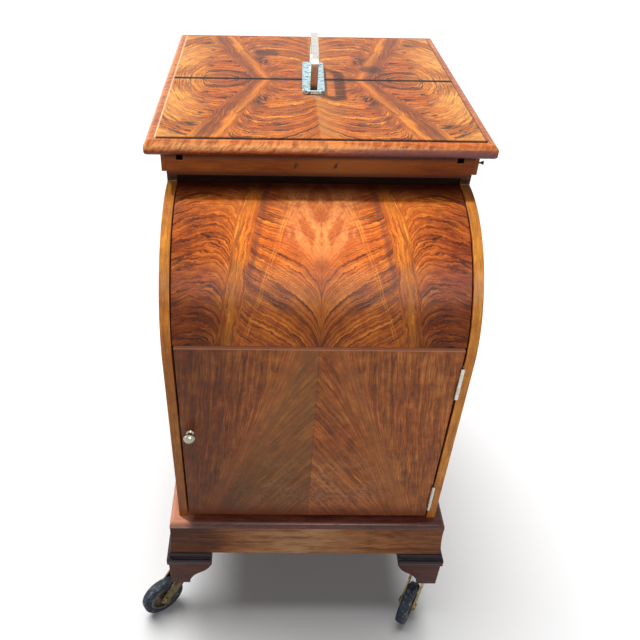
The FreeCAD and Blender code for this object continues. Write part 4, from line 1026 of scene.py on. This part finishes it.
# The plate's bright colour is bluish as a painted reflection of the sky.
pitted_sky_tinted_nickel = metal_finish("pitted_sky_tinted_nickel", (0.58, 0.80, 0.87), (0.03, 0.07, 0.09), 0.30, 0.95, 170)
rubbed_nickel = metal_finish("rubbed_nickel", (0.82, 0.79, 0.70), (0.42, 0.40, 0.34), 0.12, 0.30, 120)


def strap_finish():
    """Rubbed bright where a hand holds it, with a painted brown reflection of the wood on its front limb and
    a painted dark reflection at the limb's foot.
    """
    low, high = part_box("handle_strap")
    metal = Finish("strap_nickel", (0.84, 0.81, 0.72), metallic=1.0)
    patches = metal.noise(metal.place, 240, 4, 0.7)
    dirt = metal.times(metal.between(patches, 0.44, 0.62), 0.45)
    metal.paint((0.34, 0.35, 0.31), dirt)
    # Painted reflection of the walnut top on the strap's front limb.
    wood_reflection = metal.times(metal.between(metal.y, low.y + 0.0030, low.y + 0.0008),
        metal.between(metal.z, high.z - 0.0080, high.z - 0.0150))
    metal.paint((0.230, 0.120, 0.060), wood_reflection, 0.85)
    # Painted dark reflection at the foot of the front limb.
    heel = metal.times(wood_reflection, metal.between(metal.z, low.z + 0.012, low.z + 0.003))
    metal.paint((0.020, 0.022, 0.014), heel, 0.85)
    return metal.surface(metal.add(0.14, metal.times(dirt, 0.4)), metal.times(patches, -1.0), PIT_DEPTH)


for node, material in (
        ("handle_plate", pitted_sky_tinted_nickel), ("handle_strap", strap_finish()), ("handle_stem", rubbed_nickel)):
    fitted("lift", "nickel", material, MOULDED_EDGE, node)


# ---- Hinges, knob, latch and catch ----
# Butt hinges and a turned knob in brighter nickel, a steel latch and flap pins, and a blackened
# bolt with a trumpet knob that slides in a brass bush.

bright_nickel = metal_finish("bright_nickel", (0.56, 0.55, 0.50), (0.22, 0.21, 0.18), 0.22, 0.40, 110)
dull_nickel = metal_finish("dull_nickel", (0.34, 0.32, 0.26), (0.16, 0.14, 0.10), 0.20, 0.40, 110)
plain_steel = metal_finish("plain_steel", (0.48, 0.48, 0.47), (0.20, 0.18, 0.16), 0.34)
black_steel = Finish("black_steel", (0.012, 0.012, 0.013), specular_ior_level=0.3).surface(0.35)
FITTING_EDGE = (0.0002, 2, 35)
for body, node, slot, material in (
        ("cabinet", "hinge_side_leaves", "nickel", bright_nickel),
        ("door", "hinge_door_leaves", "nickel", bright_nickel),
        ("latch", "door_knob", "nickel", dull_nickel),
        ("cabinet", "strike_plate", "nickel", bright_nickel),
        ("latch", "latch_tongue", "steel", plain_steel),
        ("cabinet", "flap_pins", "steel", plain_steel),
        ("catch", "catch_bolt", "dark_steel", black_steel),
        ("cabinet", "catch_bush", "brass", old_brass)):
    fitted(body, slot, material, FITTING_EDGE, node)

LEAF_LONG = 0.060
LEAF_SCREW_Y = -0.332
LEAF_SCREW_INSET = 0.009
SIDE_LEAF_FACE = 0.2044
DOOR_LEAF_FACE = 0.2036
hinge_low, hinge_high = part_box("hinge_side_leaves")
leaf_feet = (hinge_low.z, hinge_high.z - LEAF_LONG)
for name, body, leaf_face, facing in (
        ("side_leaf_screws", "cabinet", SIDE_LEAF_FACE, (-1.0, 0.0, 0.0)),
        ("door_leaf_screws", "door", DOOR_LEAF_FACE, (1.0, 0.0, 0.0))):
    screwed(name, body, bright_nickel, proud=0.0004, radius=0.0028, rows=[
        (3, (leaf_face, LEAF_SCREW_Y, z + LEAF_SCREW_INSET),
         (leaf_face, LEAF_SCREW_Y, z + LEAF_LONG - LEAF_SCREW_INSET), facing) for z in leaf_feet])


# ---- Lift ----
# The bottle frame that rises out of the well: plain walnut boards, a shelf, fences, and two brass
# rails, on shoes that run on the side runners.

SHELF_EDGE = (0.0010,)
END_EDGE = (0.0010, 2, 35)
fitted("lift", "inner_wood", inner_level, SHELF_EDGE,
    "lift_platform", "lift_bridge", "lift_shelf", "lift_fences")
fitted("lift", "inner_wood", inner_upright, END_EDGE, "lift_end_left", "lift_end_right", "lift_shoes")
fitted("cabinet", "inner_wood", inner_upright, RAIL_EDGE, "lift_runners")
fitted("lift", "brass", old_brass, FLAP_EDGE, "bottle_rails")
